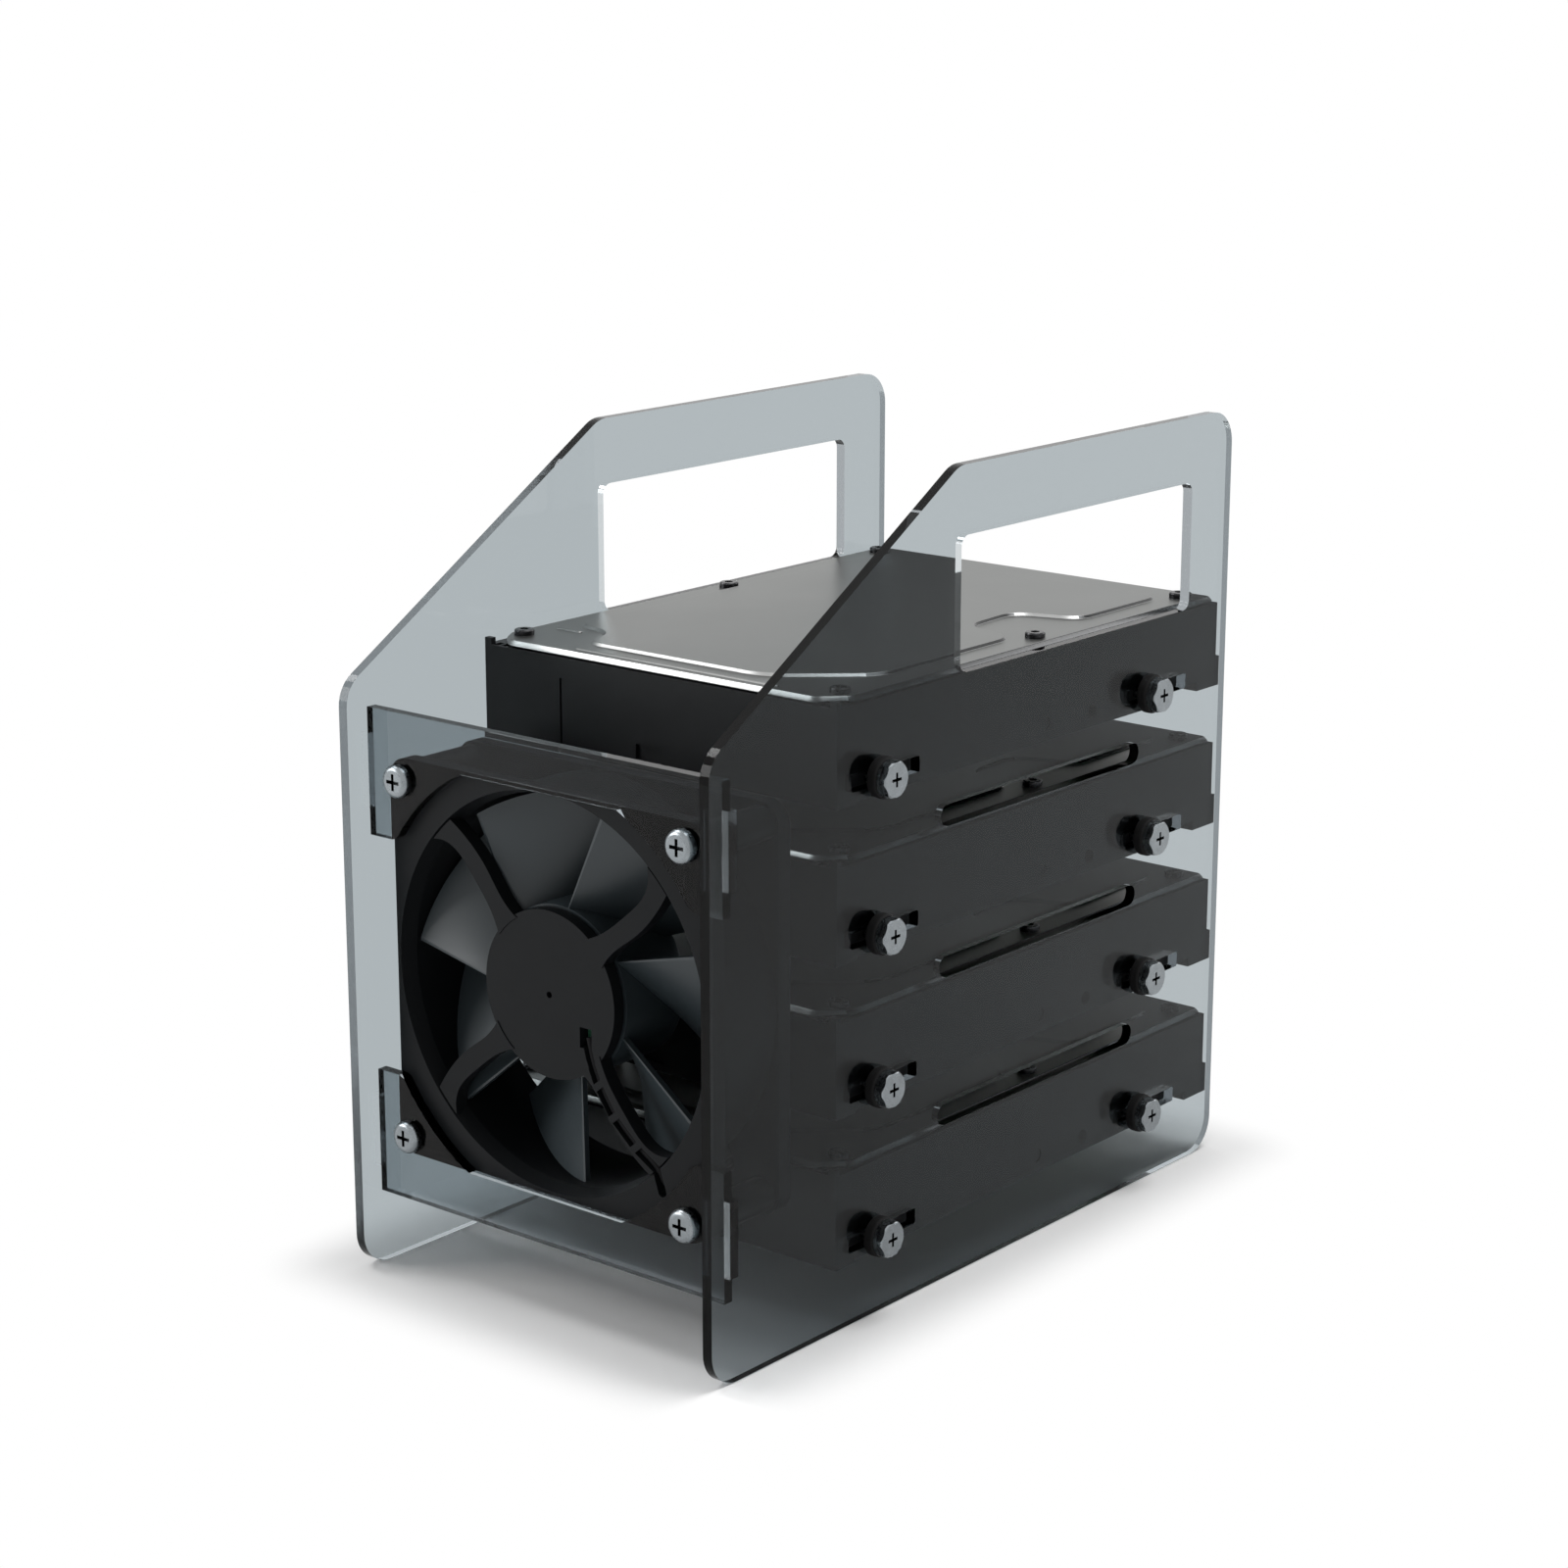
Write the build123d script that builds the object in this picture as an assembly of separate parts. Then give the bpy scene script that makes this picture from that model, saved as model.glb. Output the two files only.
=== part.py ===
from build123d import *
import math
import os

# Hard drive cage: two clear side plates, two clear fan plates, a cooling fan and four
# screwed-in drives. X runs across the cage, Y from the fan to the connectors, Z up.
# The origin is on the floor, in the middle of the cage. All sizes are in millimetres.

# Drives
DRIVE_COUNT = 4
DRIVE_WIDTH = 101.6
DRIVE_LENGTH = 147.0
DRIVE_HEIGHT = 23.2
DRIVE_PITCH = 34.6
DRIVE_SET_BACK = 43.0
HOLE_SPACING = 101.6
FRONT_HOLE_INSET = 11.8
HOLE_ABOVE_BASE = 5.4
LOWEST_HOLE_Z = 18.3
SIDE_HOLE_DEPTH = 5.0
RIM_DROP = 1.5
POST_WIDTH = 2.0
POST_DEPTH = 1.4
CORNER_POCKET_WIDTH = 1.7
CORNER_POCKET_WALL = 0.5
CORNER_POCKET_LENGTH = 2.4
CORNER_POCKET_DEPTH = 1.5
GASKET_HEIGHT = 0.35
GASKET_INSET = 1.4
LID_INSET = 0.5
LID_CORNER_CUT = 6.0
LID_THICKNESS = 1.25
LID_EMBOSS = 0.7
LID_EMBOSS_SLOPE = 40.0
LID_FIELD_CORNER = 5.0
# Corners of the lid's raised field: across, and back from the drive's front
LID_FIELD = (
    (-28, 8.5), (24, 8.5), (43, 25), (43, 74), (28, 78), (27, 96), (43, 101), (43, 134), (-43, 134), (-43, 22),
    (-30, 19),
)
LID_BEAD_WIDTH = 1.7
# The lid's two beads: middle across, middle back from the front, and length
LID_BEADS = ((3.0, 3.6, 58.0), (-40.5, 17.0, 8.0))
FRONT_GROOVE_X = -27.5
FRONT_GROOVE_WIDTH = 0.6
FRONT_GROOVE_TOP = 17.0
FRONT_RECESS_X = -1.3
FRONT_RECESS_WIDTH = 7.6
FRONT_RECESS_BOTTOM = 1.8
FRONT_RECESS_HEIGHT = 3.7
FRONT_CUT_DEPTH = 0.8
FOOT_LENGTH = 7.0
FOOT_STEP = 0.7
REAR_STEP_LENGTH = 26.0
REAR_STEP = 3.4
REAR_LUG_LENGTH = 8.0
REAR_LUG_REACH = 1.5
REAR_LUG_BOTTOM = 1.2
REAR_LUG_HEIGHT = 7.2
RAIL_WIDTH = 5.6
POCKET_DEPTH = 5.2
POCKET_FRONT = 20.0
BOARD_THICKNESS = 1.6
BOARD_CLEARANCE = 0.6
BOARD_LENGTH = 96.0
SPINDLE_BOSS_RADIUS = 15.0
SPINDLE_FROM_FRONT = 53.0
CONNECTOR_WIDTH = 42.0
CONNECTOR_LENGTH = 9.0
CONNECTOR_HEIGHT = 4.5
CONNECTOR_OFFSET = 19.0
CONNECTOR_WALL = 1.0
CONNECTOR_DATA_WIDTH = 15.0
CONNECTOR_MOUTH_DEPTH = 6.0
CONNECTOR_SET_BACK = 0.4
TONGUE_THICKNESS = 0.8
TONGUE_GAP = 0.4
TONGUE_SHORT = 1.0
REAR_RECESS_DEPTH = 1.0
REAR_RECESS_ABOVE_LUG = 2.0
SPARE_HOLE_RADIUS = 1.65
SPARE_HOLE_FROM_FRONT = 93.7
SPARE_HOLE_DROP = 1.1
PLUG_SPOT_RADIUS = 1.6
PLUG_SPOT_FROM_FRONT = 75.2
PLUG_SPOT_DEPTH = 0.4
LID_SCREW_RADIUS = 2.3
LID_SCREW_HEIGHT = 1.3
LID_SCREW_INSET = 5.2
LID_SCREWS_FROM_FRONT = (7.5, 79.0, 138.0)
LID_SCREW_SOCKET = 1.1
LID_SCREW_SOCKET_DEPTH = 0.7
LID_SCREW_ROUND = 0.4

# Side plates
PLATE_LENGTH = 190.0
PLATE_HEIGHT = 185.0
PLATE_THICKNESS = 2.5
PLATE_CORNER = 8.0
PLATE_GAP = 0.1
CHAMFER_TOP_Y = 82.2
CHAMFER_FRONT_Z = 135.4
WINDOW_FRONT_Y = 83.2
WINDOW_LENGTH = 90.2
WINDOW_BOTTOM_Z = 139.3
WINDOW_HEIGHT = 30.3
WINDOW_CORNER = 2.5
SLOT_LENGTH = 23.6
FRONT_SLOT_Y = 57.4
REAR_SLOT_Y = 161.1
SLOT_CORNER = 0.5
VENT_LENGTH = 76.7
VENT_HEIGHT = 5.0
VENT_Y = 115.35
VENT_ABOVE_HOLE = 20.9

# Drive screws and rubber rings
SHANK_RADIUS = 1.75
SHANK_CLEARANCE = 0.05
SHANK_ENGAGEMENT = 4.2
RING_RADIUS = 4.6
RING_THICKNESS = 2.8
RING_ROUND = 0.8
HEX_FLATS = 7.6
HEX_HEIGHT = 1.5
WASHER_RADIUS = 4.2
WASHER_HEIGHT = 0.7
HEX_DOME = 0.3
HEX_CROSS_RADIUS = 1.6
HEX_CROSS_DEPTH = 1.5
CROSS_ARM_SHARE = 0.42

# Fan
FAN_SIZE = 92.0
FAN_DEPTH = 25.0
FAN_HOLE_SPACING = 82.5
FAN_AXIS_Z = 73.9
FAN_CORNER = 5.0
FLANGE_THICKNESS = 3.8
BORE_RADIUS = 43.8
BORE_MOUTH = 1.2
DUCT_WALL = 1.5
MOTOR_RADIUS = 18.9
MOTOR_SET_BACK = 0.4
MOTOR_PLATE = 2.6
MOTOR_RIM = 3.0
STRUT_WIDTH = 4.8
STRUT_FLARE = 7.6
STRUT_DEPTH = 3.4
STRUT_LEAN = -5.0
STRUT_FOOT_LEAN = -3.0
STRUT_NEAR_LEAN = -4.0
STRUT_FAR_LEAN = -3.5
STRUT_NECK = 4.0
SCREW_TUBE_RADIUS = 3.9
SCREW_TUBE_BORE = 2.15
OIL_HOLE_RADIUS = 0.75
BEARING_TUBE_RADIUS = 5.6
BEARING_RADIUS = 4.0
BEARING_LENGTH = 4.0
BEARING_TUBE_LENGTH = 15.0
SHAFT_RADIUS = 1.5
SHAFT_CLEARANCE = 0.05
SHAFT_END_GAP = 0.4
BLADE_COUNT = 7
BLADE_TIP_GAP = 1.0
BLADE_SPAN = 46.0
BLADE_SWEEP = 10.0
BLADE_THICKNESS = 1.7
BLADE_PHASE = 124.5
BLADE_SECTIONS = 5
BLADE_CURVE = 0.25
BLADE_FRONT_GAP = 0.6
BLADE_REAR_GAP = 2.2
HUB_RADIUS = 19.3
HUB_WALL = 1.6
HUB_FRONT_GAP = 0.6
HUB_REAR_GAP = 1.4
MAGNET_WALL = 1.6
MAGNET_LENGTH = 11.0
STATOR_GAP = 0.4
STATOR_POLES = 4
STATOR_LENGTH = 8.0
STATOR_SET_BACK = 1.5
STATOR_YOKE = 2.4
STATOR_ARM = 4.2
STATOR_SHOE = 1.8
STATOR_SLOT = 1.8
MOTOR_BOARD_THICKNESS = 0.8
MOTOR_BOARD_MARGIN = 1.5
FIT_GAP = 0.05

# Fan plates
FAN_PLATE_SET_BACK = 6.0
FAN_PLATE_REACH = 56.5
FAN_PLATE_ARM = 27.4
CUTOUT_RADIUS = 51.0
CUTOUT_FLAT = 45.6
ARM_CORNER = 3.0
TAB_HEIGHT = 17.0
TAB_CLEARANCE = 0.05
FAN_SCREW_CLEARANCE = 0.3
FAN_SCREW_HEAD_RADIUS = 3.75
FAN_SCREW_HEAD_HEIGHT = 2.2
FAN_SCREW_HEAD_ROUND = 1.3
FAN_SCREW_CROSS_RADIUS = 1.9
FAN_SCREW_CROSS_DEPTH = 1.2
FAN_SCREW_LENGTH = 12.0
FAN_SCREW_FIT = 0.05
SAME_POINT = 0.01

# Fan lead
LEAD_RADIUS = 0.9
LEAD_SET_BACK = 1.65
LEAD_SLOT_WIDTH = 3.4
LEAD_SLOT_HEIGHT = 4.6
LEAD_CHANNEL_GAP = 0.25
LEAD_HOOK_THICKNESS = 0.5
LEAD_HOOK_WIDTH = 1.6
LEAD_HOOK_LENGTH = 3.4
COIL_RADIUS = 17.0
COIL_SECTION = 1.9
COIL_CENTRE = (-20.0, -11.0)
COIL_LIFT = 0.3
COIL_ENTRY = 15.0
TAIL_LENGTH = 14.0
PLUG_SIZE = (7.6, 11.4, 5.8)
PLUG_PITCH = 2.54
PLUG_SOCKET = 1.0
PLUG_SOCKET_LIFT = 2.4
PLUG_BACK_WALL = 3.0
# Radius and angle of the lead's points on the fan's face, from the motor's slot outwards
LEAD_FACE = ((13.0, -36), (16.6, -45.5), (22.4, -51), (30.0, -52), (38.0, -49.5), (44.8, -46.5), (49.2, -48.8))
LEAD_BEHIND_FAN = (4.0, 1.0)
LEAD_BACK_RUN = ((22.0, -45.0, 1.4), (7.0, -34.5, 0.4))
LEAD_BEND_SHARE = 0.45

# Places worked out from the sizes above
FRONT_Y = -PLATE_LENGTH / 2
PLATE_INNER_X = DRIVE_WIDTH / 2 + PLATE_GAP
PLATE_OUTER_X = PLATE_INNER_X + PLATE_THICKNESS
DRIVE_FRONT_Y = FRONT_Y + DRIVE_SET_BACK
DRIVE_REAR_Y = DRIVE_FRONT_Y + DRIVE_LENGTH
CASTING_REAR_Y = DRIVE_REAR_Y - REAR_LUG_REACH
FRONT_HOLE_Y = DRIVE_FRONT_Y + FRONT_HOLE_INSET
HOLE_YS = (FRONT_HOLE_Y, FRONT_HOLE_Y + HOLE_SPACING)
RIM_Z = DRIVE_HEIGHT - RIM_DROP
LID_SEAT = RIM_Z + GASKET_HEIGHT
LID_TOP = LID_SEAT + LID_THICKNESS
FAN_PLATE_Y = FRONT_Y + FAN_PLATE_SET_BACK
FAN_FRONT_Y = FAN_PLATE_Y + PLATE_THICKNESS
FAN_REAR_Y = FAN_FRONT_Y + FAN_DEPTH
FAN_HOLE = FAN_HOLE_SPACING / 2
MOTOR_FRONT_Y = FAN_FRONT_Y + MOTOR_SET_BACK
MOTOR_BACK_Y = MOTOR_FRONT_Y + MOTOR_PLATE
HUB_FRONT_Y = MOTOR_FRONT_Y + MOTOR_RIM + HUB_FRONT_GAP
HUB_REAR_Y = FAN_REAR_Y - HUB_REAR_GAP
HUB_INNER = HUB_RADIUS - HUB_WALL
MAGNET_INNER = HUB_INNER - MAGNET_WALL
TUBE_END_Y = MOTOR_BACK_Y + BEARING_TUBE_LENGTH
SLOT_HEIGHT = 2 * (SHANK_RADIUS + SHANK_CLEARANCE)
LOWEST_BASE_Z = LOWEST_HOLE_Z - HOLE_ABOVE_BASE
COIL_Z = LOWEST_BASE_Z + LID_TOP + LID_EMBOSS + COIL_LIFT + COIL_SECTION


def fan_plane(y):
    """The fan's drawing plane moved to depth y. Sketch X is across, sketch Y is up."""
    return Plane(origin=(0, y, FAN_AXIS_Z), x_dir=(1, 0, 0), z_dir=(0, -1, 0))


def backward(sketch, length):
    """A sketch on the fan's plane, grown towards the rear by a length."""
    return extrude(sketch, amount=-length)


def side_plane(x):
    """A plane across X, where sketch X is the cage's Y and sketch Y is its Z."""
    return Plane(origin=(x, 0, 0), x_dir=(0, 1, 0), z_dir=(1, 0, 0))


def polar(radius, angle):
    """A point about the fan's axis, from a radius and an angle in degrees."""
    return (radius * math.cos(math.radians(angle)), radius * math.sin(math.radians(angle)))


def save(node, solids):
    """Write one node as a STEP file."""
    export_step(Compound(children=list(solids)) if len(solids) > 1 else solids[0], f"parts/{node}.step")


def hole_height(number):
    """Height of a drive's side holes, counting drives from the top, from 1."""
    return LOWEST_HOLE_Z + (DRIVE_COUNT - number) * DRIVE_PITCH


def arm_middle():
    """Height of the fan plates' tabs above and below the fan's axis."""
    return (FAN_PLATE_REACH + FAN_PLATE_ARM) / 2


# Side plates

def side_outline():
    """The plate's outline, with its long slope at the top front and rounded corners."""
    front = FRONT_Y
    rear = FRONT_Y + PLATE_LENGTH
    corners = [
        (front, 0),
        (rear, 0),
        (rear, PLATE_HEIGHT),
        (front + CHAMFER_TOP_Y, PLATE_HEIGHT),
        (front, CHAMFER_FRONT_Z),
    ]
    outline = make_face(Polyline(*corners, close=True))
    return fillet(outline.vertices(), PLATE_CORNER)


def side_cutouts():
    """Window, screw slots, vents and tab slots of a side plate, as one sketch."""
    window_y = FRONT_Y + WINDOW_FRONT_Y + WINDOW_LENGTH / 2
    window_z = WINDOW_BOTTOM_Z + WINDOW_HEIGHT / 2
    holes = Pos(window_y, window_z) * RectangleRounded(WINDOW_LENGTH, WINDOW_HEIGHT, WINDOW_CORNER)
    slot = RectangleRounded(SLOT_LENGTH, SLOT_HEIGHT, SLOT_CORNER)
    for number in range(1, DRIVE_COUNT + 1):
        for slot_y in (FRONT_SLOT_Y, REAR_SLOT_Y):
            holes += Pos(FRONT_Y + slot_y, hole_height(number)) * slot
    for number in range(2, DRIVE_COUNT + 1):
        vent_z = hole_height(number) + VENT_ABOVE_HOLE
        holes += Pos(FRONT_Y + VENT_Y, vent_z) * SlotOverall(VENT_LENGTH, VENT_HEIGHT)
    tab_slot = Rectangle(PLATE_THICKNESS + 2 * TAB_CLEARANCE, TAB_HEIGHT + 2 * TAB_CLEARANCE)
    for side in (-1, 1):
        tab_z = FAN_AXIS_Z + side * arm_middle()
        holes += Pos(FAN_PLATE_Y + PLATE_THICKNESS / 2, tab_z) * tab_slot
    return holes


def side_plate(side):
    """One clear side plate. Side is 1 on the right and -1 on the left."""
    inner = min(side * PLATE_INNER_X, side * PLATE_OUTER_X)
    return extrude(side_plane(inner) * (side_outline() - side_cutouts()), amount=PLATE_THICKNESS)


# Fan plates

def fan_plate(side):
    """The upper (side 1) or lower (side -1) clear plate that carries the fan."""
    height = FAN_PLATE_REACH - FAN_PLATE_ARM
    middle = side * arm_middle()
    body = Pos(0, middle) * Rectangle(2 * PLATE_INNER_X, height)
    body += Pos(0, middle) * Rectangle(2 * PLATE_OUTER_X, TAB_HEIGHT)
    opening = Circle(CUTOUT_RADIUS) & Rectangle(2 * CUTOUT_RADIUS, 2 * CUTOUT_FLAT)
    body -= opening
    bend = (math.sqrt(CUTOUT_RADIUS**2 - FAN_PLATE_ARM**2), side * FAN_PLATE_ARM)
    bends = [v for v in body.vertices() if math.dist((abs(v.X), v.Y), bend) < SAME_POINT]
    body = fillet(bends, ARM_CORNER)
    for x_side in (-1, 1):
        hole = Circle(SCREW_TUBE_BORE + FAN_SCREW_CLEARANCE)
        body -= Pos(x_side * FAN_HOLE, side * FAN_HOLE) * hole
    return backward(fan_plane(FAN_PLATE_Y) * body, PLATE_THICKNESS)


# Fan frame

def strut(angle):
    """One curved strut from the motor plate out to the duct, flared at both ends."""
    reach = BORE_RADIUS + DUCT_WALL / 2
    half = STRUT_WIDTH / 2
    flare = STRUT_FLARE / 2

    def at(radius, lean, offset):
        x, y = polar(radius, angle + lean)
        away = math.radians(angle + lean + 90)
        return (x + offset * math.cos(away), y + offset * math.sin(away))

    middle = (MOTOR_RADIUS + BORE_RADIUS) / 2
    near = MOTOR_RADIUS + STRUT_NECK
    far = BORE_RADIUS - STRUT_NECK
    root = MOTOR_RADIUS - HUB_WALL
    rising = Spline(
        at(root, STRUT_FOOT_LEAN, flare), at(near, STRUT_NEAR_LEAN, half), at(middle, STRUT_LEAN, half),
        at(far, STRUT_FAR_LEAN, half), at(reach, 0, flare),
    )
    falling = Spline(
        at(reach, 0, -flare), at(far, STRUT_FAR_LEAN, -half), at(middle, STRUT_LEAN, -half),
        at(near, STRUT_NEAR_LEAN, -half), at(root, STRUT_FOOT_LEAN, -flare),
    )
    outline = rising + Line(rising @ 1, falling @ 0) + falling + Line(falling @ 1, rising @ 0)
    return make_face(outline)


def fan_flange():
    """Square flange sketch with rounded corners."""
    return RectangleRounded(FAN_SIZE, FAN_SIZE, FAN_CORNER)


def lead_channel(points):
    """A round-ended channel through the given points, as a sketch."""
    width = 2 * (LEAD_RADIUS + LEAD_CHANNEL_GAP)
    channel = Sketch()
    for first, last in zip(points, points[1:]):
        run = SlotCenterToCenter(math.dist(first, last), width)
        turn = math.degrees(math.atan2(last[1] - first[1], last[0] - first[0]))
        middle = ((first[0] + last[0]) / 2, (first[1] + last[1]) / 2)
        channel += Pos(*middle) * (Rot(0, 0, turn) * run)
    return channel


def fan_frame():
    """Square frame with a round duct, four screw tubes, four struts and the motor mount."""
    frame = backward(fan_plane(FAN_FRONT_Y) * fan_flange(), FLANGE_THICKNESS)
    frame += backward(fan_plane(FAN_REAR_Y - FLANGE_THICKNESS) * fan_flange(), FLANGE_THICKNESS)
    frame += backward(fan_plane(FAN_FRONT_Y) * Circle(BORE_RADIUS + DUCT_WALL), FAN_DEPTH)
    for corner in GridLocations(FAN_HOLE_SPACING, FAN_HOLE_SPACING, 2, 2):
        tube = corner * Circle(SCREW_TUBE_RADIUS)
        frame += backward(fan_plane(FAN_FRONT_Y) * tube, FAN_DEPTH)
    frame -= backward(fan_plane(FAN_FRONT_Y) * Circle(BORE_RADIUS), FAN_DEPTH)
    mouth = fan_plane(FAN_FRONT_Y) * Circle(BORE_RADIUS + BORE_MOUTH)
    throat = fan_plane(FAN_FRONT_Y + FLANGE_THICKNESS) * Circle(BORE_RADIUS)
    frame -= loft([mouth.faces()[0], throat.faces()[0]])
    for corner in GridLocations(FAN_HOLE_SPACING, FAN_HOLE_SPACING, 2, 2):
        frame -= backward(fan_plane(FAN_FRONT_Y) * (corner * Circle(SCREW_TUBE_BORE)), FAN_DEPTH)
    frame += motor_mount()
    depth = LEAD_SET_BACK + LEAD_RADIUS + LEAD_CHANNEL_GAP
    face_points = lead_face_points()
    frame -= backward(fan_plane(FAN_FRONT_Y) * lead_channel(face_points), depth)
    frame -= backward(fan_plane(FAN_FRONT_Y) * lead_channel(face_points[-2:]), FAN_DEPTH)
    return frame + lead_hooks()


def lead_hooks():
    """Three small hooks on one strut that hold the lead in its channel."""
    hooks = Sketch()
    for x, z in lead_face_points()[2:5]:
        turn = math.degrees(math.atan2(z, x))
        hooks += Pos(x, z) * (Rot(0, 0, turn) * Rectangle(LEAD_HOOK_WIDTH, LEAD_HOOK_LENGTH))
    return backward(fan_plane(FAN_FRONT_Y + MOTOR_SET_BACK / 2) * hooks, LEAD_HOOK_THICKNESS)


def motor_mount():
    """Motor plate with its oil hole, lead slot, rim, bearing tube and the four struts."""
    disc = Circle(MOTOR_RADIUS) - Circle(OIL_HOLE_RADIUS)
    slot_x, slot_z = lead_face_points()[0]
    disc -= Pos(slot_x, slot_z) * Rectangle(LEAD_SLOT_WIDTH, LEAD_SLOT_HEIGHT)
    mount = backward(fan_plane(MOTOR_FRONT_Y) * disc, MOTOR_PLATE)
    rim = Circle(MOTOR_RADIUS) - Circle(MOTOR_RADIUS - HUB_WALL)
    mount += backward(fan_plane(MOTOR_FRONT_Y) * rim, MOTOR_RIM)
    for quarter in range(4):
        arm = strut(45 + 90 * quarter) - Circle(MOTOR_RADIUS - HUB_WALL / 2)
        arm = arm & Circle(BORE_RADIUS + DUCT_WALL / 2)
        mount += backward(fan_plane(FAN_FRONT_Y + MOTOR_SET_BACK / 2) * arm, STRUT_DEPTH)
    tube = Circle(BEARING_TUBE_RADIUS) - Circle(BEARING_RADIUS)
    mount += backward(fan_plane(MOTOR_BACK_Y) * tube, BEARING_TUBE_LENGTH)
    return mount


# Fan rotor and motor

def blade(angle):
    """One twisted blade: straight sections from root to tip, each turned and set further back."""
    front = HUB_FRONT_Y + BLADE_FRONT_GAP
    rear = FAN_REAR_Y - BLADE_REAR_GAP - BLADE_THICKNESS
    root = HUB_RADIUS - HUB_WALL / 2
    tip = BORE_RADIUS - BLADE_TIP_GAP
    sections = []
    for step in range(BLADE_SECTIONS):
        share = step / (BLADE_SECTIONS - 1)
        turn = angle - BLADE_SPAN * share
        depth = front + (rear - front) * (share - BLADE_CURVE * share * (1 - share))
        inner_x, inner_z = polar(root, turn + BLADE_SWEEP)
        outer_x, outer_z = polar(tip, turn)
        run_x, run_z = outer_x - inner_x, outer_z - inner_z
        origin = (inner_x, depth, FAN_AXIS_Z + inner_z)
        plane = Plane(origin=origin, x_dir=(run_x, 0, run_z), z_dir=(-run_z, 0, run_x))
        length = math.hypot(run_x, run_z) + 2 * HUB_WALL
        section = Pos(length / 2, 0) * Rectangle(length, BLADE_THICKNESS)
        sections.append((plane * section).faces()[0])
    body = loft(sections)
    ring = backward(fan_plane(HUB_FRONT_Y) * (Circle(tip) - Circle(root)), FAN_REAR_Y - HUB_FRONT_Y)
    return body & ring


def fan_rotor():
    """Hub cup, closed at the rear, with its blades."""
    hub = backward(fan_plane(HUB_FRONT_Y) * Circle(HUB_RADIUS), HUB_REAR_Y - HUB_FRONT_Y)
    rear_edge = hub.edges().filter_by(GeomType.CIRCLE).sort_by(Axis.Y)[-1]
    hub = fillet(rear_edge, HUB_WALL)
    hollow = HUB_REAR_Y - HUB_FRONT_Y - HUB_WALL
    hub -= backward(fan_plane(HUB_FRONT_Y) * Circle(HUB_INNER), hollow)
    for number in range(BLADE_COUNT):
        hub += blade(BLADE_PHASE + number * 360 / BLADE_COUNT)
    return hub


def fan_shaft():
    """Steel shaft from the hub's end wall forward through both bearings."""
    start = MOTOR_BACK_Y + SHAFT_END_GAP
    end = HUB_REAR_Y - HUB_WALL
    return backward(fan_plane(start) * Circle(SHAFT_RADIUS), end - start)


def fan_bearings():
    """Two ball bearings in the bearing tube, one at each end."""
    ring = Circle(BEARING_RADIUS - FIT_GAP / 2) - Circle(SHAFT_RADIUS + SHAFT_CLEARANCE)
    first = MOTOR_BACK_Y + SHAFT_END_GAP / 2
    last = TUBE_END_Y - BEARING_LENGTH
    return [backward(fan_plane(start) * ring, BEARING_LENGTH) for start in (first, last)]


def magnet_ring():
    """Ring magnet inside the hub cup."""
    ring = Circle(HUB_INNER) - Circle(MAGNET_INNER)
    start = HUB_REAR_Y - HUB_WALL - MAGNET_LENGTH
    return backward(fan_plane(start) * ring, MAGNET_LENGTH)


def stator():
    """Laminated core: a yoke on the bearing tube, and arms that end in wide pole shoes."""
    outer = MAGNET_INNER - STATOR_GAP
    inner = BEARING_TUBE_RADIUS + FIT_GAP
    shoes = Circle(outer) - Circle(outer - STATOR_SHOE)
    arms = Sketch()
    for pole in range(STATOR_POLES):
        angle = pole * 360 / STATOR_POLES
        arms += Rot(0, 0, angle) * (Pos(outer / 2, 0) * Rectangle(outer, STATOR_ARM))
        slot = Pos(outer, 0) * Rectangle(4 * STATOR_SHOE, STATOR_SLOT)
        shoes -= Rot(0, 0, angle + 180 / STATOR_POLES) * slot
    core = shoes + (arms & Circle(outer - STATOR_SHOE / 2)) + Circle(inner + STATOR_YOKE)
    start = TUBE_END_Y - STATOR_LENGTH - STATOR_SET_BACK
    return backward(fan_plane(start) * (core - Circle(inner)), STATOR_LENGTH)


def motor_board():
    """Round circuit board on the back of the motor plate, round the bearing tube."""
    outline = Circle(MOTOR_RADIUS - HUB_WALL - MOTOR_BOARD_MARGIN) - Circle(BEARING_TUBE_RADIUS + FIT_GAP)
    return backward(fan_plane(MOTOR_BACK_Y) * outline, MOTOR_BOARD_THICKNESS)


# Screws and rings

def cross_recess(radius, depth, plane):
    """The crossed slots of a cross-head driver recess, cut down from a plane."""
    arm = Rectangle(2 * radius, CROSS_ARM_SHARE * radius)
    cross = arm + Rot(0, 0, 90) * arm
    return extrude(plane * cross, amount=-depth)


def fan_screw(x_side, z_side):
    """Pan-head screw through a fan plate into the fan frame."""
    middle = (x_side * FAN_HOLE, z_side * FAN_HOLE)
    shank = SCREW_TUBE_BORE - FAN_SCREW_FIT
    body = backward(fan_plane(FAN_PLATE_Y) * (Pos(*middle) * Circle(shank)), FAN_SCREW_LENGTH)
    head_y = FAN_PLATE_Y - FAN_SCREW_HEAD_HEIGHT
    head = backward(fan_plane(head_y) * (Pos(*middle) * Circle(FAN_SCREW_HEAD_RADIUS)), FAN_SCREW_HEAD_HEIGHT)
    front_edge = head.edges().filter_by(GeomType.CIRCLE).sort_by(Axis.Y)[0]
    head = fillet(front_edge, FAN_SCREW_HEAD_ROUND)
    plane = fan_plane(head_y) * Pos(*middle)
    return body + head - cross_recess(FAN_SCREW_CROSS_RADIUS, FAN_SCREW_CROSS_DEPTH, plane)


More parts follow.
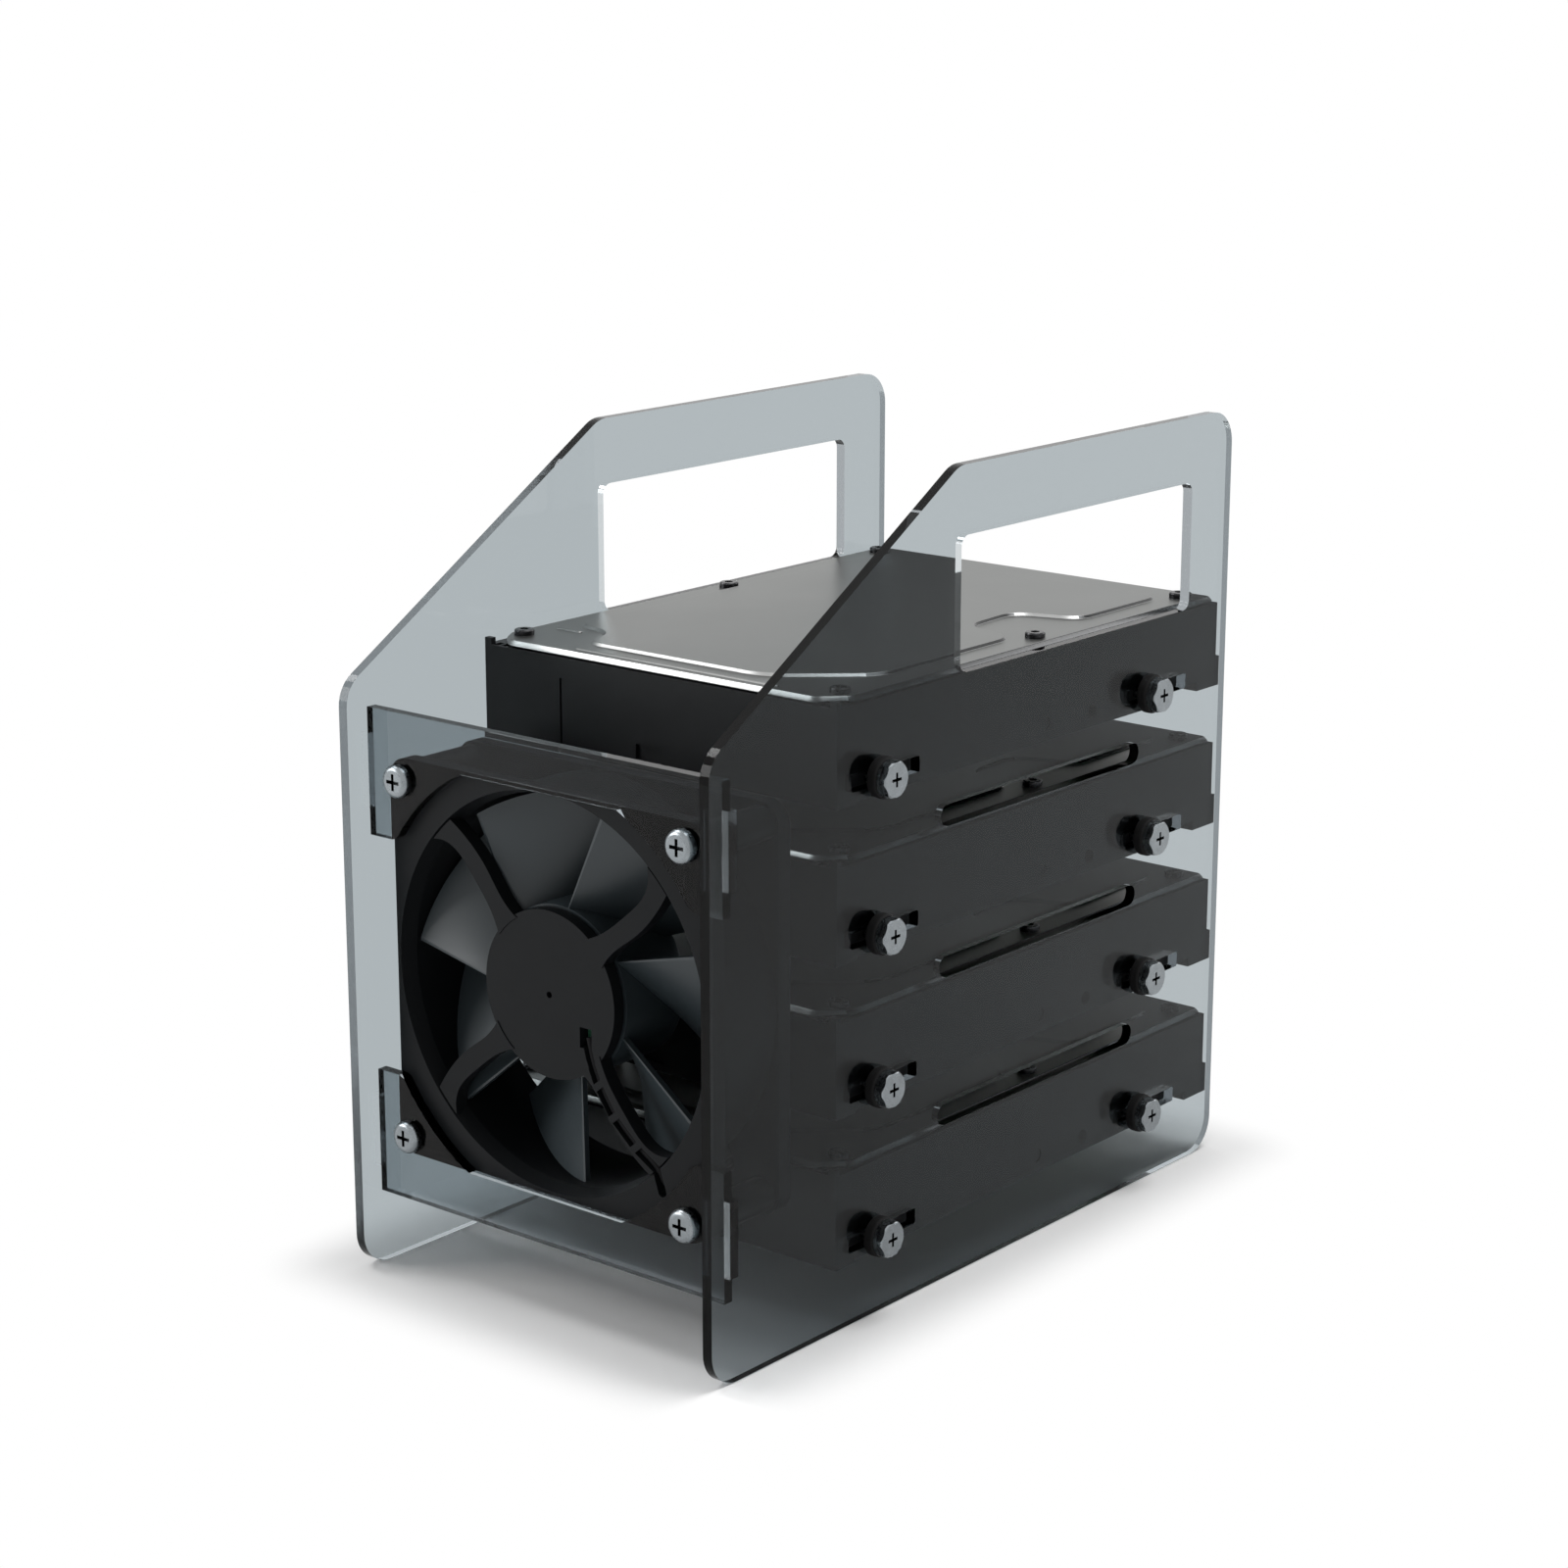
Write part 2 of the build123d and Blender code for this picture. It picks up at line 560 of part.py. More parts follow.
def drive_screw(side, y, z):
    """Hex washer-head screw, from outside the plate into the drive."""
    face_x = PLATE_OUTER_X + RING_THICKNESS
    plane = Plane(origin=(side * face_x, y, z), x_dir=(0, side, 0), z_dir=(side, 0, 0))
    reach = face_x - DRIVE_WIDTH / 2 + SHANK_ENGAGEMENT
    screw = extrude(plane * Circle(SHANK_RADIUS), amount=-reach)
    screw += extrude(plane * Circle(WASHER_RADIUS), amount=WASHER_HEIGHT)
    outline = RegularPolygon(HEX_FLATS / 2, 6, major_radius=False)
    hexagon = extrude(plane.offset(WASHER_HEIGHT) * outline, HEX_HEIGHT)
    cap = extrude(plane.offset(WASHER_HEIGHT) * Circle(HEX_FLATS / 2 + HEX_DOME), HEX_HEIGHT)
    top_edge = cap.edges().filter_by(GeomType.CIRCLE).sort_by(Axis.X)[-1 if side > 0 else 0]
    cap = chamfer(top_edge, HEX_DOME)
    screw += hexagon & cap
    top = plane.offset(WASHER_HEIGHT + HEX_HEIGHT)
    return screw - cross_recess(HEX_CROSS_RADIUS, HEX_CROSS_DEPTH, top)


def rubber_ring(side, y, z):
    """Thick rubber ring between a plate and a screw head."""
    plane = Plane(origin=(side * PLATE_OUTER_X, y, z), x_dir=(0, side, 0), z_dir=(side, 0, 0))
    ring = extrude(plane * Circle(RING_RADIUS), amount=RING_THICKNESS)
    ring = fillet(ring.edges().filter_by(GeomType.CIRCLE), RING_ROUND)
    return ring - extrude(plane * Circle(SHANK_RADIUS + SHANK_CLEARANCE), amount=RING_THICKNESS)


def at_drive_holes(maker, number):
    """One made piece at each of a drive's four side holes."""
    height = hole_height(number)
    return [maker(side, y, height) for side in (-1, 1) for y in HOLE_YS]


# Drives

def drive_base(base_z):
    """Cast drive body: stepped side walls, gasket ledge, corner posts, board pocket and holes."""
    half = DRIVE_WIDTH / 2
    front, rear = DRIVE_FRONT_Y, CASTING_REAR_Y
    lug_top = base_z + REAR_LUG_BOTTOM + REAR_LUG_HEIGHT
    profile = Polyline(
        (front, base_z),
        (front + FOOT_LENGTH, base_z),
        (front + FOOT_LENGTH, base_z + FOOT_STEP),
        (rear - REAR_STEP_LENGTH, base_z + FOOT_STEP),
        (rear - REAR_STEP_LENGTH, base_z + REAR_STEP),
        (rear - REAR_LUG_LENGTH, base_z + REAR_STEP),
        (rear - REAR_LUG_LENGTH, base_z + REAR_LUG_BOTTOM),
        (DRIVE_REAR_Y, base_z + REAR_LUG_BOTTOM),
        (DRIVE_REAR_Y, lug_top),
        (rear, lug_top),
        (rear, base_z + DRIVE_HEIGHT),
        (front, base_z + DRIVE_HEIGHT),
        close=True,
    )
    base = extrude(side_plane(-half) * make_face(profile), amount=DRIVE_WIDTH)
    rim_z = base_z + RIM_Z
    base -= block(-half, half, front + POST_DEPTH, rear, rim_z, rim_z + RIM_DROP)
    base -= block(POST_WIDTH - half, half - POST_WIDTH, front, rear, rim_z, rim_z + RIM_DROP)
    base += extrude(Plane.XY.offset(rim_z) * lid_outline(GASKET_INSET), amount=GASKET_HEIGHT)
    base -= front_cuts(base_z)
    pocket = half - RAIL_WIDTH
    pocket_top = base_z + POCKET_DEPTH
    base -= block(-pocket, pocket, front + POCKET_FRONT, DRIVE_REAR_Y, base_z, pocket_top)
    boss_at = Pos(0, front + SPINDLE_FROM_FRONT, pocket_top - (POCKET_DEPTH - FOOT_STEP) / 2)
    base += boss_at * Cylinder(SPINDLE_BOSS_RADIUS, POCKET_DEPTH - FOOT_STEP)
    recess_top = lug_top + REAR_RECESS_ABOVE_LUG
    base -= block(-pocket, pocket, rear - REAR_RECESS_DEPTH, DRIVE_REAR_Y, base_z, recess_top)
    for side in (-1, 1):
        base -= side_holes(side, base_z)
    return base


def block(x1, x2, y1, y2, z1, z2):
    """A box given by its limits."""
    return Pos((x1 + x2) / 2, (y1 + y2) / 2, (z1 + z2) / 2) * Box(x2 - x1, y2 - y1, z2 - z1)


def front_cuts(base_z):
    """What is cut from the drive's front: a groove, a low recess and pockets by the posts."""
    front, inside = DRIVE_FRONT_Y, DRIVE_FRONT_Y + FRONT_CUT_DEPTH
    half = FRONT_GROOVE_WIDTH / 2
    groove = (FRONT_GROOVE_X - half, FRONT_GROOVE_X + half)
    cuts = block(*groove, front, inside, base_z, base_z + FRONT_GROOVE_TOP)
    half = FRONT_RECESS_WIDTH / 2
    recess = (FRONT_RECESS_X - half, FRONT_RECESS_X + half)
    low = base_z + FRONT_RECESS_BOTTOM
    cuts += block(*recess, front, inside, low, low + FRONT_RECESS_HEIGHT)
    step = CORNER_POCKET_WIDTH + CORNER_POCKET_WALL
    top = base_z + RIM_Z
    for side in (-1, 1):
        for pocket in (0, 1):
            outer = DRIVE_WIDTH / 2 - POST_WIDTH - pocket * step
            across = sorted((side * outer, side * (outer - CORNER_POCKET_WIDTH)))
            back = front + CORNER_POCKET_WALL
            cuts += block(*across, back, back + CORNER_POCKET_LENGTH, top - CORNER_POCKET_DEPTH, top)
    return cuts


def side_holes(side, base_z):
    """Tapped side holes, the spare hole and the shallow round spot of one side wall."""
    wall = side_plane(side * DRIVE_WIDTH / 2)
    inward = -side * SIDE_HOLE_DEPTH
    hole_z = base_z + HOLE_ABOVE_BASE
    holes = Sketch()
    for y in HOLE_YS:
        holes += Pos(y, hole_z) * Circle(SHANK_RADIUS + SHANK_CLEARANCE)
    spare_y = DRIVE_FRONT_Y + SPARE_HOLE_FROM_FRONT
    holes += Pos(spare_y, hole_z - SPARE_HOLE_DROP) * Circle(SPARE_HOLE_RADIUS)
    cut = extrude(wall * holes, amount=inward)
    spot_y = DRIVE_FRONT_Y + PLUG_SPOT_FROM_FRONT
    spot = wall * (Pos(spot_y, hole_z - SPARE_HOLE_DROP / 2) * Circle(PLUG_SPOT_RADIUS))
    return cut + extrude(spot, amount=-side * PLUG_SPOT_DEPTH)


def lid_outline(margin):
    """The lid's outline with its two cut front corners, drawn in by a margin."""
    half = DRIVE_WIDTH / 2 - LID_INSET - margin
    front = DRIVE_FRONT_Y + LID_INSET + margin
    rear = CASTING_REAR_Y - LID_INSET - margin
    cut = LID_CORNER_CUT
    corners = [
        (-half, front + cut), (-half + cut, front), (half - cut, front), (half, front + cut),
        (half, rear), (-half, rear),
    ]
    return make_face(Polyline(*corners, close=True))


def lid_field():
    """Outline of the lid's raised field, which steps in round its screws."""
    corners = [(x, DRIVE_FRONT_Y + back) for x, back in LID_FIELD]
    outline = make_face(Polyline(*corners, close=True))
    return fillet(outline.vertices(), LID_FIELD_CORNER)


def drive_lid(base_z):
    """Pressed steel lid with its raised field and two beads, all with sloping sides."""
    plane = Plane.XY.offset(base_z + LID_SEAT)
    lid = extrude(plane * lid_outline(0), amount=LID_THICKNESS)
    top = plane.offset(LID_THICKNESS)
    lid += extrude(top * lid_field(), amount=LID_EMBOSS, taper=LID_EMBOSS_SLOPE)
    for x, back, length in LID_BEADS:
        bead = Pos(x, DRIVE_FRONT_Y + back) * SlotOverall(length, LID_BEAD_WIDTH)
        lid += extrude(top * bead, amount=LID_EMBOSS / 2, taper=LID_EMBOSS_SLOPE)
    return lid


def lid_screw_places():
    """Six screws along the lid's sides."""
    half = DRIVE_WIDTH / 2 - LID_SCREW_INSET
    return [(x, DRIVE_FRONT_Y + back) for x in (-half, half) for back in LID_SCREWS_FROM_FRONT]


def lid_screws(base_z):
    """Low round-headed screws with a six-sided socket, seated on the lid."""
    screws = []
    for x, y in lid_screw_places():
        plane = Plane(origin=(x, y, base_z + LID_TOP))
        head = extrude(plane * Circle(LID_SCREW_RADIUS), amount=LID_SCREW_HEIGHT)
        head = fillet(head.edges().filter_by(GeomType.CIRCLE).sort_by(Axis.Z)[-1], LID_SCREW_ROUND)
        socket = plane.offset(LID_SCREW_HEIGHT) * RegularPolygon(LID_SCREW_SOCKET, 6)
        screws.append(head - extrude(socket, amount=-LID_SCREW_SOCKET_DEPTH))
    return screws


def drive_board(base_z):
    """Circuit board in the pocket under the drive, cut round the spindle boss."""
    half = DRIVE_WIDTH / 2 - RAIL_WIDTH - BOARD_CLEARANCE
    rear = CASTING_REAR_Y - REAR_RECESS_DEPTH - BOARD_CLEARANCE
    top = base_z + POCKET_DEPTH - BOARD_CLEARANCE / 2
    board = block(-half, half, rear - BOARD_LENGTH, rear, top - BOARD_THICKNESS, top)
    notch = Cylinder(SPINDLE_BOSS_RADIUS + BOARD_CLEARANCE, 2 * POCKET_DEPTH)
    return board - Pos(0, DRIVE_FRONT_Y + SPINDLE_FROM_FRONT, top) * notch


def drive_connector(base_z):
    """Data and power sockets at the rear, hung under the board's edge."""
    rear = DRIVE_REAR_Y - CONNECTOR_SET_BACK
    top = base_z + POCKET_DEPTH - BOARD_CLEARANCE / 2 - BOARD_THICKNESS
    bottom = top - CONNECTOR_HEIGHT
    left = CONNECTOR_OFFSET - CONNECTOR_WIDTH / 2
    right = left + CONNECTOR_WIDTH
    body = block(left, right, rear - CONNECTOR_LENGTH, rear, bottom, top)
    divide = left + CONNECTOR_WALL + CONNECTOR_DATA_WIDTH
    mouth_y = rear - CONNECTOR_MOUTH_DEPTH
    tongue_z = bottom + CONNECTOR_WALL + TONGUE_GAP
    for x1, x2 in ((left + CONNECTOR_WALL, divide), (divide + CONNECTOR_WALL, right - CONNECTOR_WALL)):
        body -= block(x1, x2, mouth_y, rear, bottom + CONNECTOR_WALL, top - CONNECTOR_WALL)
        tongue_x = (x1 + TONGUE_SHORT, x2 - TONGUE_SHORT)
        body += block(*tongue_x, mouth_y, rear - TONGUE_SHORT, tongue_z, tongue_z + TONGUE_THICKNESS)
    return body


# Fan lead

def lead_face_points():
    """The lead's points on the fan's face, across and up from the fan's axis."""
    return [polar(radius, angle) for radius, angle in LEAD_FACE]


def lead_route():
    """The lead's points, from the motor board to the coil."""
    face_points = lead_face_points()
    start_y = MOTOR_BACK_Y - LEAD_RADIUS - LEAD_CHANNEL_GAP
    channel_y = FAN_FRONT_Y + LEAD_SET_BACK
    route = [(face_points[0][0], start_y, FAN_AXIS_Z + face_points[0][1])]
    for x, z in face_points[1:]:
        route.append((x, channel_y, FAN_AXIS_Z + z))
    back, rise = LEAD_BEHIND_FAN
    route.append((route[-1][0], FAN_REAR_Y + back, route[-1][2] + rise))
    for x, y, lift in LEAD_BACK_RUN:
        route.append((x, y, COIL_Z + lift))
    entry_x = COIL_CENTRE[0] + COIL_RADIUS
    route.append((entry_x, COIL_CENTRE[1] - COIL_ENTRY, COIL_Z))
    route.append((entry_x, COIL_CENTRE[1], COIL_Z))
    return route


def lead_tube(route, radii):
    """A round tube along straight runs joined by arcs."""
    path = FilletPolyline(*route, radius=radii)
    start = Plane(origin=path @ 0, z_dir=path % 0)
    return sweep(start * Circle(LEAD_RADIUS), path=path)


def fan_lead():
    """Lead from the motor, along one strut, through the frame and back to the coil."""
    route = lead_route()
    radii = corner_radii(route)
    print("lead radii", [round(r, 1) for r in radii])
    return lead_tube(route, radii)


def corner_radii(route):
    """For each inner point, a share of its shorter run over the tangent of half its turn."""
    radii = []
    for before, here, after in zip(route, route[1:], route[2:]):
        leg_in = Vector(*here) - Vector(*before)
        leg_out = Vector(*after) - Vector(*here)
        turn = math.radians(leg_in.get_angle(leg_out))
        radii.append(LEAD_BEND_SHARE * min(leg_in.length, leg_out.length) / math.tan(turn / 2))
    return radii


def lead_coil():
    """The rest of the lead, coiled flat in the air gap above the lowest drive."""
    coil = Pos(COIL_CENTRE[0], COIL_CENTRE[1], COIL_Z) * Torus(COIL_RADIUS, COIL_SECTION)
    entry = Plane(origin=(COIL_CENTRE[0] + COIL_RADIUS, COIL_CENTRE[1], COIL_Z), z_dir=(0, -1, 0))
    return coil - extrude(entry * Circle(LEAD_RADIUS), amount=COIL_ENTRY) - lead_tail()


def lead_tail():
    """Short end of the lead from the coil to the plug."""
    x = COIL_CENTRE[0] - COIL_RADIUS
    plane = Plane(origin=(x, COIL_CENTRE[1] - COIL_SECTION, COIL_Z), z_dir=(0, -1, 0))
    return extrude(plane * Circle(LEAD_RADIUS), amount=TAIL_LENGTH)


def lead_plug():
    """Three-way fan plug with its sockets."""
    width, length, height = PLUG_SIZE
    back_y = COIL_CENTRE[1] - COIL_SECTION - TAIL_LENGTH
    front_y = back_y - length
    x = COIL_CENTRE[0] - COIL_RADIUS
    bottom = COIL_Z - COIL_SECTION
    plug = block(x - width / 2, x + width / 2, front_y, back_y, bottom, bottom + height)
    low = bottom + PLUG_SOCKET_LIFT
    half = PLUG_SOCKET / 2
    for offset in (-PLUG_PITCH, 0, PLUG_PITCH):
        middle = x + offset
        plug -= block(middle - half, middle + half, front_y, back_y - PLUG_BACK_WALL, low, low + PLUG_SOCKET)
    return plug


def build():
    """Make every node."""
    os.makedirs("parts", exist_ok=True)
    nodes = {
        "left_side_plate": [side_plate(-1)],
        "right_side_plate": [side_plate(1)],
        "upper_fan_plate": [fan_plate(1)],
        "lower_fan_plate": [fan_plate(-1)],
        "fan_frame": [fan_frame()],
        "fan_rotor": [fan_rotor()],
        "fan_shaft": [fan_shaft()],
        "fan_bearings": fan_bearings(),
        "fan_magnet": [magnet_ring()],
        "fan_stator": [stator()],
        "fan_motor_board": [motor_board()],
        "fan_screws": [fan_screw(x, z) for x in (-1, 1) for z in (-1, 1)],
        "fan_lead": [fan_lead()],
        "fan_lead_coil": [lead_coil()],
        "fan_lead_tail": [lead_tail()],
        "fan_plug": [lead_plug()],
    }
    for number in range(1, DRIVE_COUNT + 1):
        base_z = hole_height(number) - HOLE_ABOVE_BASE
        name = f"drive_{number}"
        nodes[f"{name}_base"] = [drive_base(base_z)]
        nodes[f"{name}_lid"] = [drive_lid(base_z)]
        nodes[f"{name}_lid_screws"] = lid_screws(base_z)
        nodes[f"{name}_board"] = [drive_board(base_z)]
        nodes[f"{name}_connector"] = [drive_connector(base_z)]
        nodes[f"{name}_hex_screws"] = at_drive_holes(drive_screw, number)
        nodes[f"{name}_rubber_rings"] = at_drive_holes(rubber_ring, number)
    for node, solids in nodes.items():
        save(node, solids)
    print(len(nodes), "nodes")


build()
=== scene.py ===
# %% [markdown]
# # A hard drive cage, dressed for a picture
# The cage is two sheets of smoky clear acrylic with a fan at the front and four drives
# screwed between them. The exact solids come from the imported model, and this lesson
# gives them finishes, adds the small things that sit on them, and sets up the picture.
# The solids are loaded first, because every later piece lies against them, in their metres.

# %% Load the solids
import math

import bmesh
import bpy
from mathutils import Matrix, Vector


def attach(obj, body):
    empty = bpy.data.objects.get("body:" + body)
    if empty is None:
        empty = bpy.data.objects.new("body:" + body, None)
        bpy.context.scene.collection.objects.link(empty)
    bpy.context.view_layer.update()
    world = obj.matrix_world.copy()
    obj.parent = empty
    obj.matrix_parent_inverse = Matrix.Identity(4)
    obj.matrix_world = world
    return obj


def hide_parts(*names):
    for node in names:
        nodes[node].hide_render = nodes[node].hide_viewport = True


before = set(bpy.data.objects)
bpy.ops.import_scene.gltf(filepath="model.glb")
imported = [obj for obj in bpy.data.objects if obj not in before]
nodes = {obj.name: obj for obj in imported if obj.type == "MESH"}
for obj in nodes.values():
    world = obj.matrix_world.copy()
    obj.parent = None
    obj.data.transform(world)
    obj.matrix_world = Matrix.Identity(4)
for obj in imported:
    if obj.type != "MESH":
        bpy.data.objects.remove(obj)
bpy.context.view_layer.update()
DRIVES = (1, 2, 3, 4)
MM = 0.001

# %% [markdown]
# ## The camera
# The photograph was taken from the front right, a little above the cage. A long lens keeps
# the two plates nearly parallel. The place and the lens were worked out from the corners of
# the plates and the holes of the drives, so the render and the photograph lie on each other.

# %% Camera
CAMERA_PLACE = (0.48116, -0.58787, 0.30143)
CAMERA_TURN, CAMERA_DIP = 39.680, 14.6075
LENS, FILM_WIDTH = 77.84, 36
SHIFT_X = 0.0015
NEAREST_SEEN = 0.01


def add_camera():
    """Stand the camera where the photograph was taken."""
    camera = bpy.data.objects.new("camera", bpy.data.cameras.new("camera"))
    bpy.context.scene.collection.objects.link(camera)
    turn, dip = math.radians(CAMERA_TURN), math.radians(CAMERA_DIP)
    level = math.cos(dip)
    ahead = Vector((-math.sin(turn) * level, math.cos(turn) * level, -math.sin(dip)))
    camera.location = CAMERA_PLACE
    camera.rotation_euler = ahead.to_track_quat("-Z", "Y").to_euler()
    camera.data.lens = LENS
    camera.data.sensor_width = FILM_WIDTH
    camera.data.shift_x = SHIFT_X
    camera.data.clip_start = NEAREST_SEEN
    bpy.context.scene.camera = camera
    return camera


print("camera at", tuple(add_camera().location))

# %% [markdown]
# ## The fan's lead
# A fan's lead is a thin sleeve with three wires. It leaves the motor through a slot, runs
# along one strut under small hooks, dives through the frame, and its spare length lies coiled
# on the lowest drive. The points follow the solid's route, and the coil's turns lie beside
# and on each other.

# %% Lead
LEAD_DIAMETER = 1.8 * MM
FAN_AXIS_Z = 73.9
COIL_Z = 39.1
COIL_MIDDLE = (-20.0, -11.0)
COIL_RADIUS = 17.0
COIL_POINTS = 14
COIL_TURNS = 2.5
# A spline runs inside its points, so the turns are drawn a little wide.
COIL_WIDENING = 1.017
# In this last share of a turn a strand moves over to the next place in the bundle.
CROSSING = 0.25
STRAND_OFFSETS = ((-0.95, -0.6), (0.95, -0.6), (0.0, 1.0))
FACE_Y, SLOT_DEPTH = -84.85, 0.2
LEAD_FACE = (
    (10.517, -7.641), (11.635, -11.840), (14.097, -17.408), (18.470, -23.640), (24.679, -28.895),
    (30.838, -32.497), (32.408, -37.019),
)
LEAD_BACK = ((32.408, -57.5, 37.881), (22.0, -45.0, 40.5), (7.0, -34.5, 39.5), (-3.0, -26.0, 39.1))
TAIL_END_Y = -26.9
TAIL_BEND = (5.0, 0.8)
ROUND_STEPS, SPAN_STEPS = 4, 8
# The lead's box counts its points' own radius, so that is small and the bevel makes up for it.
POINT_RADIUS = MM


def coil_points():
    """The turns of the coil, each strand a little beside or above the last."""
    points = []
    count = round(COIL_POINTS * COIL_TURNS)
    last = len(STRAND_OFFSETS) - 1
    for step in range(count + 1):
        turn = COIL_TURNS * step / count
        here = min(int(turn), last)
        share = min(max((turn - here - 1) / CROSSING + 1, 0), 1)
        out, up = (
            first * (1 - share) + second * share
            for first, second in zip(STRAND_OFFSETS[here], STRAND_OFFSETS[min(here + 1, last)])
        )
        radius = (COIL_RADIUS + out) * COIL_WIDENING
        angle = 2 * math.pi * turn
        x = COIL_MIDDLE[0] + radius * math.cos(angle)
        y = COIL_MIDDLE[1] + radius * math.sin(angle)
        points.append((x, y, COIL_Z + up))
    return points


def add_lead():
    """One smooth spline through the slot, along the strut, round the coil and to the plug."""
    points = [(LEAD_FACE[0][0], FACE_Y + SLOT_DEPTH, FAN_AXIS_Z + LEAD_FACE[0][1])]
    points += [(x, FACE_Y, FAN_AXIS_Z + z) for x, z in LEAD_FACE[1:]]
    points += list(LEAD_BACK)
    points += coil_points()
    end_x = COIL_MIDDLE[0] - COIL_RADIUS
    points.append((end_x, COIL_MIDDLE[1] - TAIL_BEND[0], COIL_Z + TAIL_BEND[1]))
    points.append((end_x, TAIL_END_Y, COIL_Z))
    curve = bpy.data.curves.new("lead", "CURVE")
    curve.dimensions = "3D"
    curve.bevel_depth = LEAD_DIAMETER / 2 / POINT_RADIUS
    curve.bevel_resolution = ROUND_STEPS
    curve.resolution_u = SPAN_STEPS
    curve.use_fill_caps = True
    spline = curve.splines.new("NURBS")
    spline.points.add(len(points) - 1)
    for point, place in zip(spline.points, points):
        point.co = (*(MM * value for value in place), 1)
        point.radius = POINT_RADIUS
    spline.order_u = 3
    spline.use_endpoint_u = True
    lead = bpy.data.objects.new("lead", curve)
    bpy.context.scene.collection.objects.link(lead)
    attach(lead, "cage")
    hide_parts("fan_lead", "fan_lead_coil", "fan_lead_tail")
    [MM * value for value in points[0]]
    print("lead:", len(points), "points, ends", spline.calc_length())
    return lead


lead = add_lead()

# %% [markdown]
# ## Writing finishes as sums
# A finish is a small network of shader nodes. Wiring it by hand hides the idea, so a small
# class stands for one socket and lets Python's operators add the nodes: `1 - mask` becomes
# a Math node, as do `abs(height)` and `height < 0.5`, and colours go through Vector Math so
# that they keep their hue. Every other node comes from one method that takes the node's
# type, its settings and its inputs. The world's light is written in the same way.

# %% A socket that takes part in sums
class Wire:
    """One output of a network's nodes, for use in Python expressions."""

    def __init__(self, home, socket):
        self.home, self.socket = home, socket

    def sum_node(self, operation, *sides):
        """A Math node for values, or a Vector Math node where a side is a colour or a vector."""
        wires = [side for side in sides if isinstance(side, Wire)]
        coloured = any(wire.socket.type in ("RGBA", "VECTOR") for wire in wires)
        kind = "ShaderNodeVectorMath" if coloured else "ShaderNodeMath"
        return self.home.node(kind, {"operation": operation}, dict(enumerate(sides)))

    def __add__(self, other):
        return self.sum_node("ADD", self, other)

    def __radd__(self, other):
        return self.sum_node("ADD", other, self)

    def __sub__(self, other):
        return self.sum_node("SUBTRACT", self, other)

    def __rsub__(self, other):
        return self.sum_node("SUBTRACT", other, self)

    def __mul__(self, other):
        return self.sum_node("MULTIPLY", self, other)

    def __rmul__(self, other):
        return self.sum_node("MULTIPLY", other, self)

    def __lt__(self, other):
        return self.sum_node("LESS_THAN", self, other)

    def __gt__(self, other):
        return self.sum_node("GREATER_THAN", self, other)

    def __abs__(self):
        return self.sum_node("ABSOLUTE", self)

    def larger(self, other):
        """The larger of two values, or of each part of two vectors."""
        return self.sum_node("MAXIMUM", self, other)

    def part(self, axis):
        """One of a vector's three numbers."""
        return self.home.node("ShaderNodeSeparateXYZ", None, {0: self}, output=axis)


# %% A network of nodes
class Network:
    """The nodes of one finish, or of the world."""

    def __init__(self, tree):
        self.tree = tree

    def feed(self, socket, value):
        """Link a wire to a socket, or set the socket's own value."""
        if isinstance(value, Wire):
            self.tree.links.new(value.socket, socket)
        elif socket.type in ("RGBA", "VECTOR"):
            size = len(socket.default_value)
            value = (value,) * 3 if isinstance(value, (int, float)) else tuple(value)
            socket.default_value = (value + (1.0,))[:size]
        else:
            socket.default_value = value

    def node(self, kind, settings=None, inputs=None, output=0):
        """Add any node: its settings first, then the values or links of its sockets."""
        node = self.tree.nodes.new(kind)
        for name, value in (settings or {}).items():
            setattr(node, name, value)
        for name, value in (inputs or {}).items():
            self.feed(node.inputs[name], value)
        return Wire(self, node.outputs[output])

    def ray(self, question):
        """What Light Path says of the ray that arrives."""
        return self.node("ShaderNodeLightPath", output=question)


# %% A finish
SOFT_DETAIL, FINE_DETAIL = 2.0, 4.0
# The colour of the painted shade in recesses and corners.
RECESS_SHADE_COLOR = (0.004, 0.004, 0.004)
OPEN_SKY_SAMPLES = 8


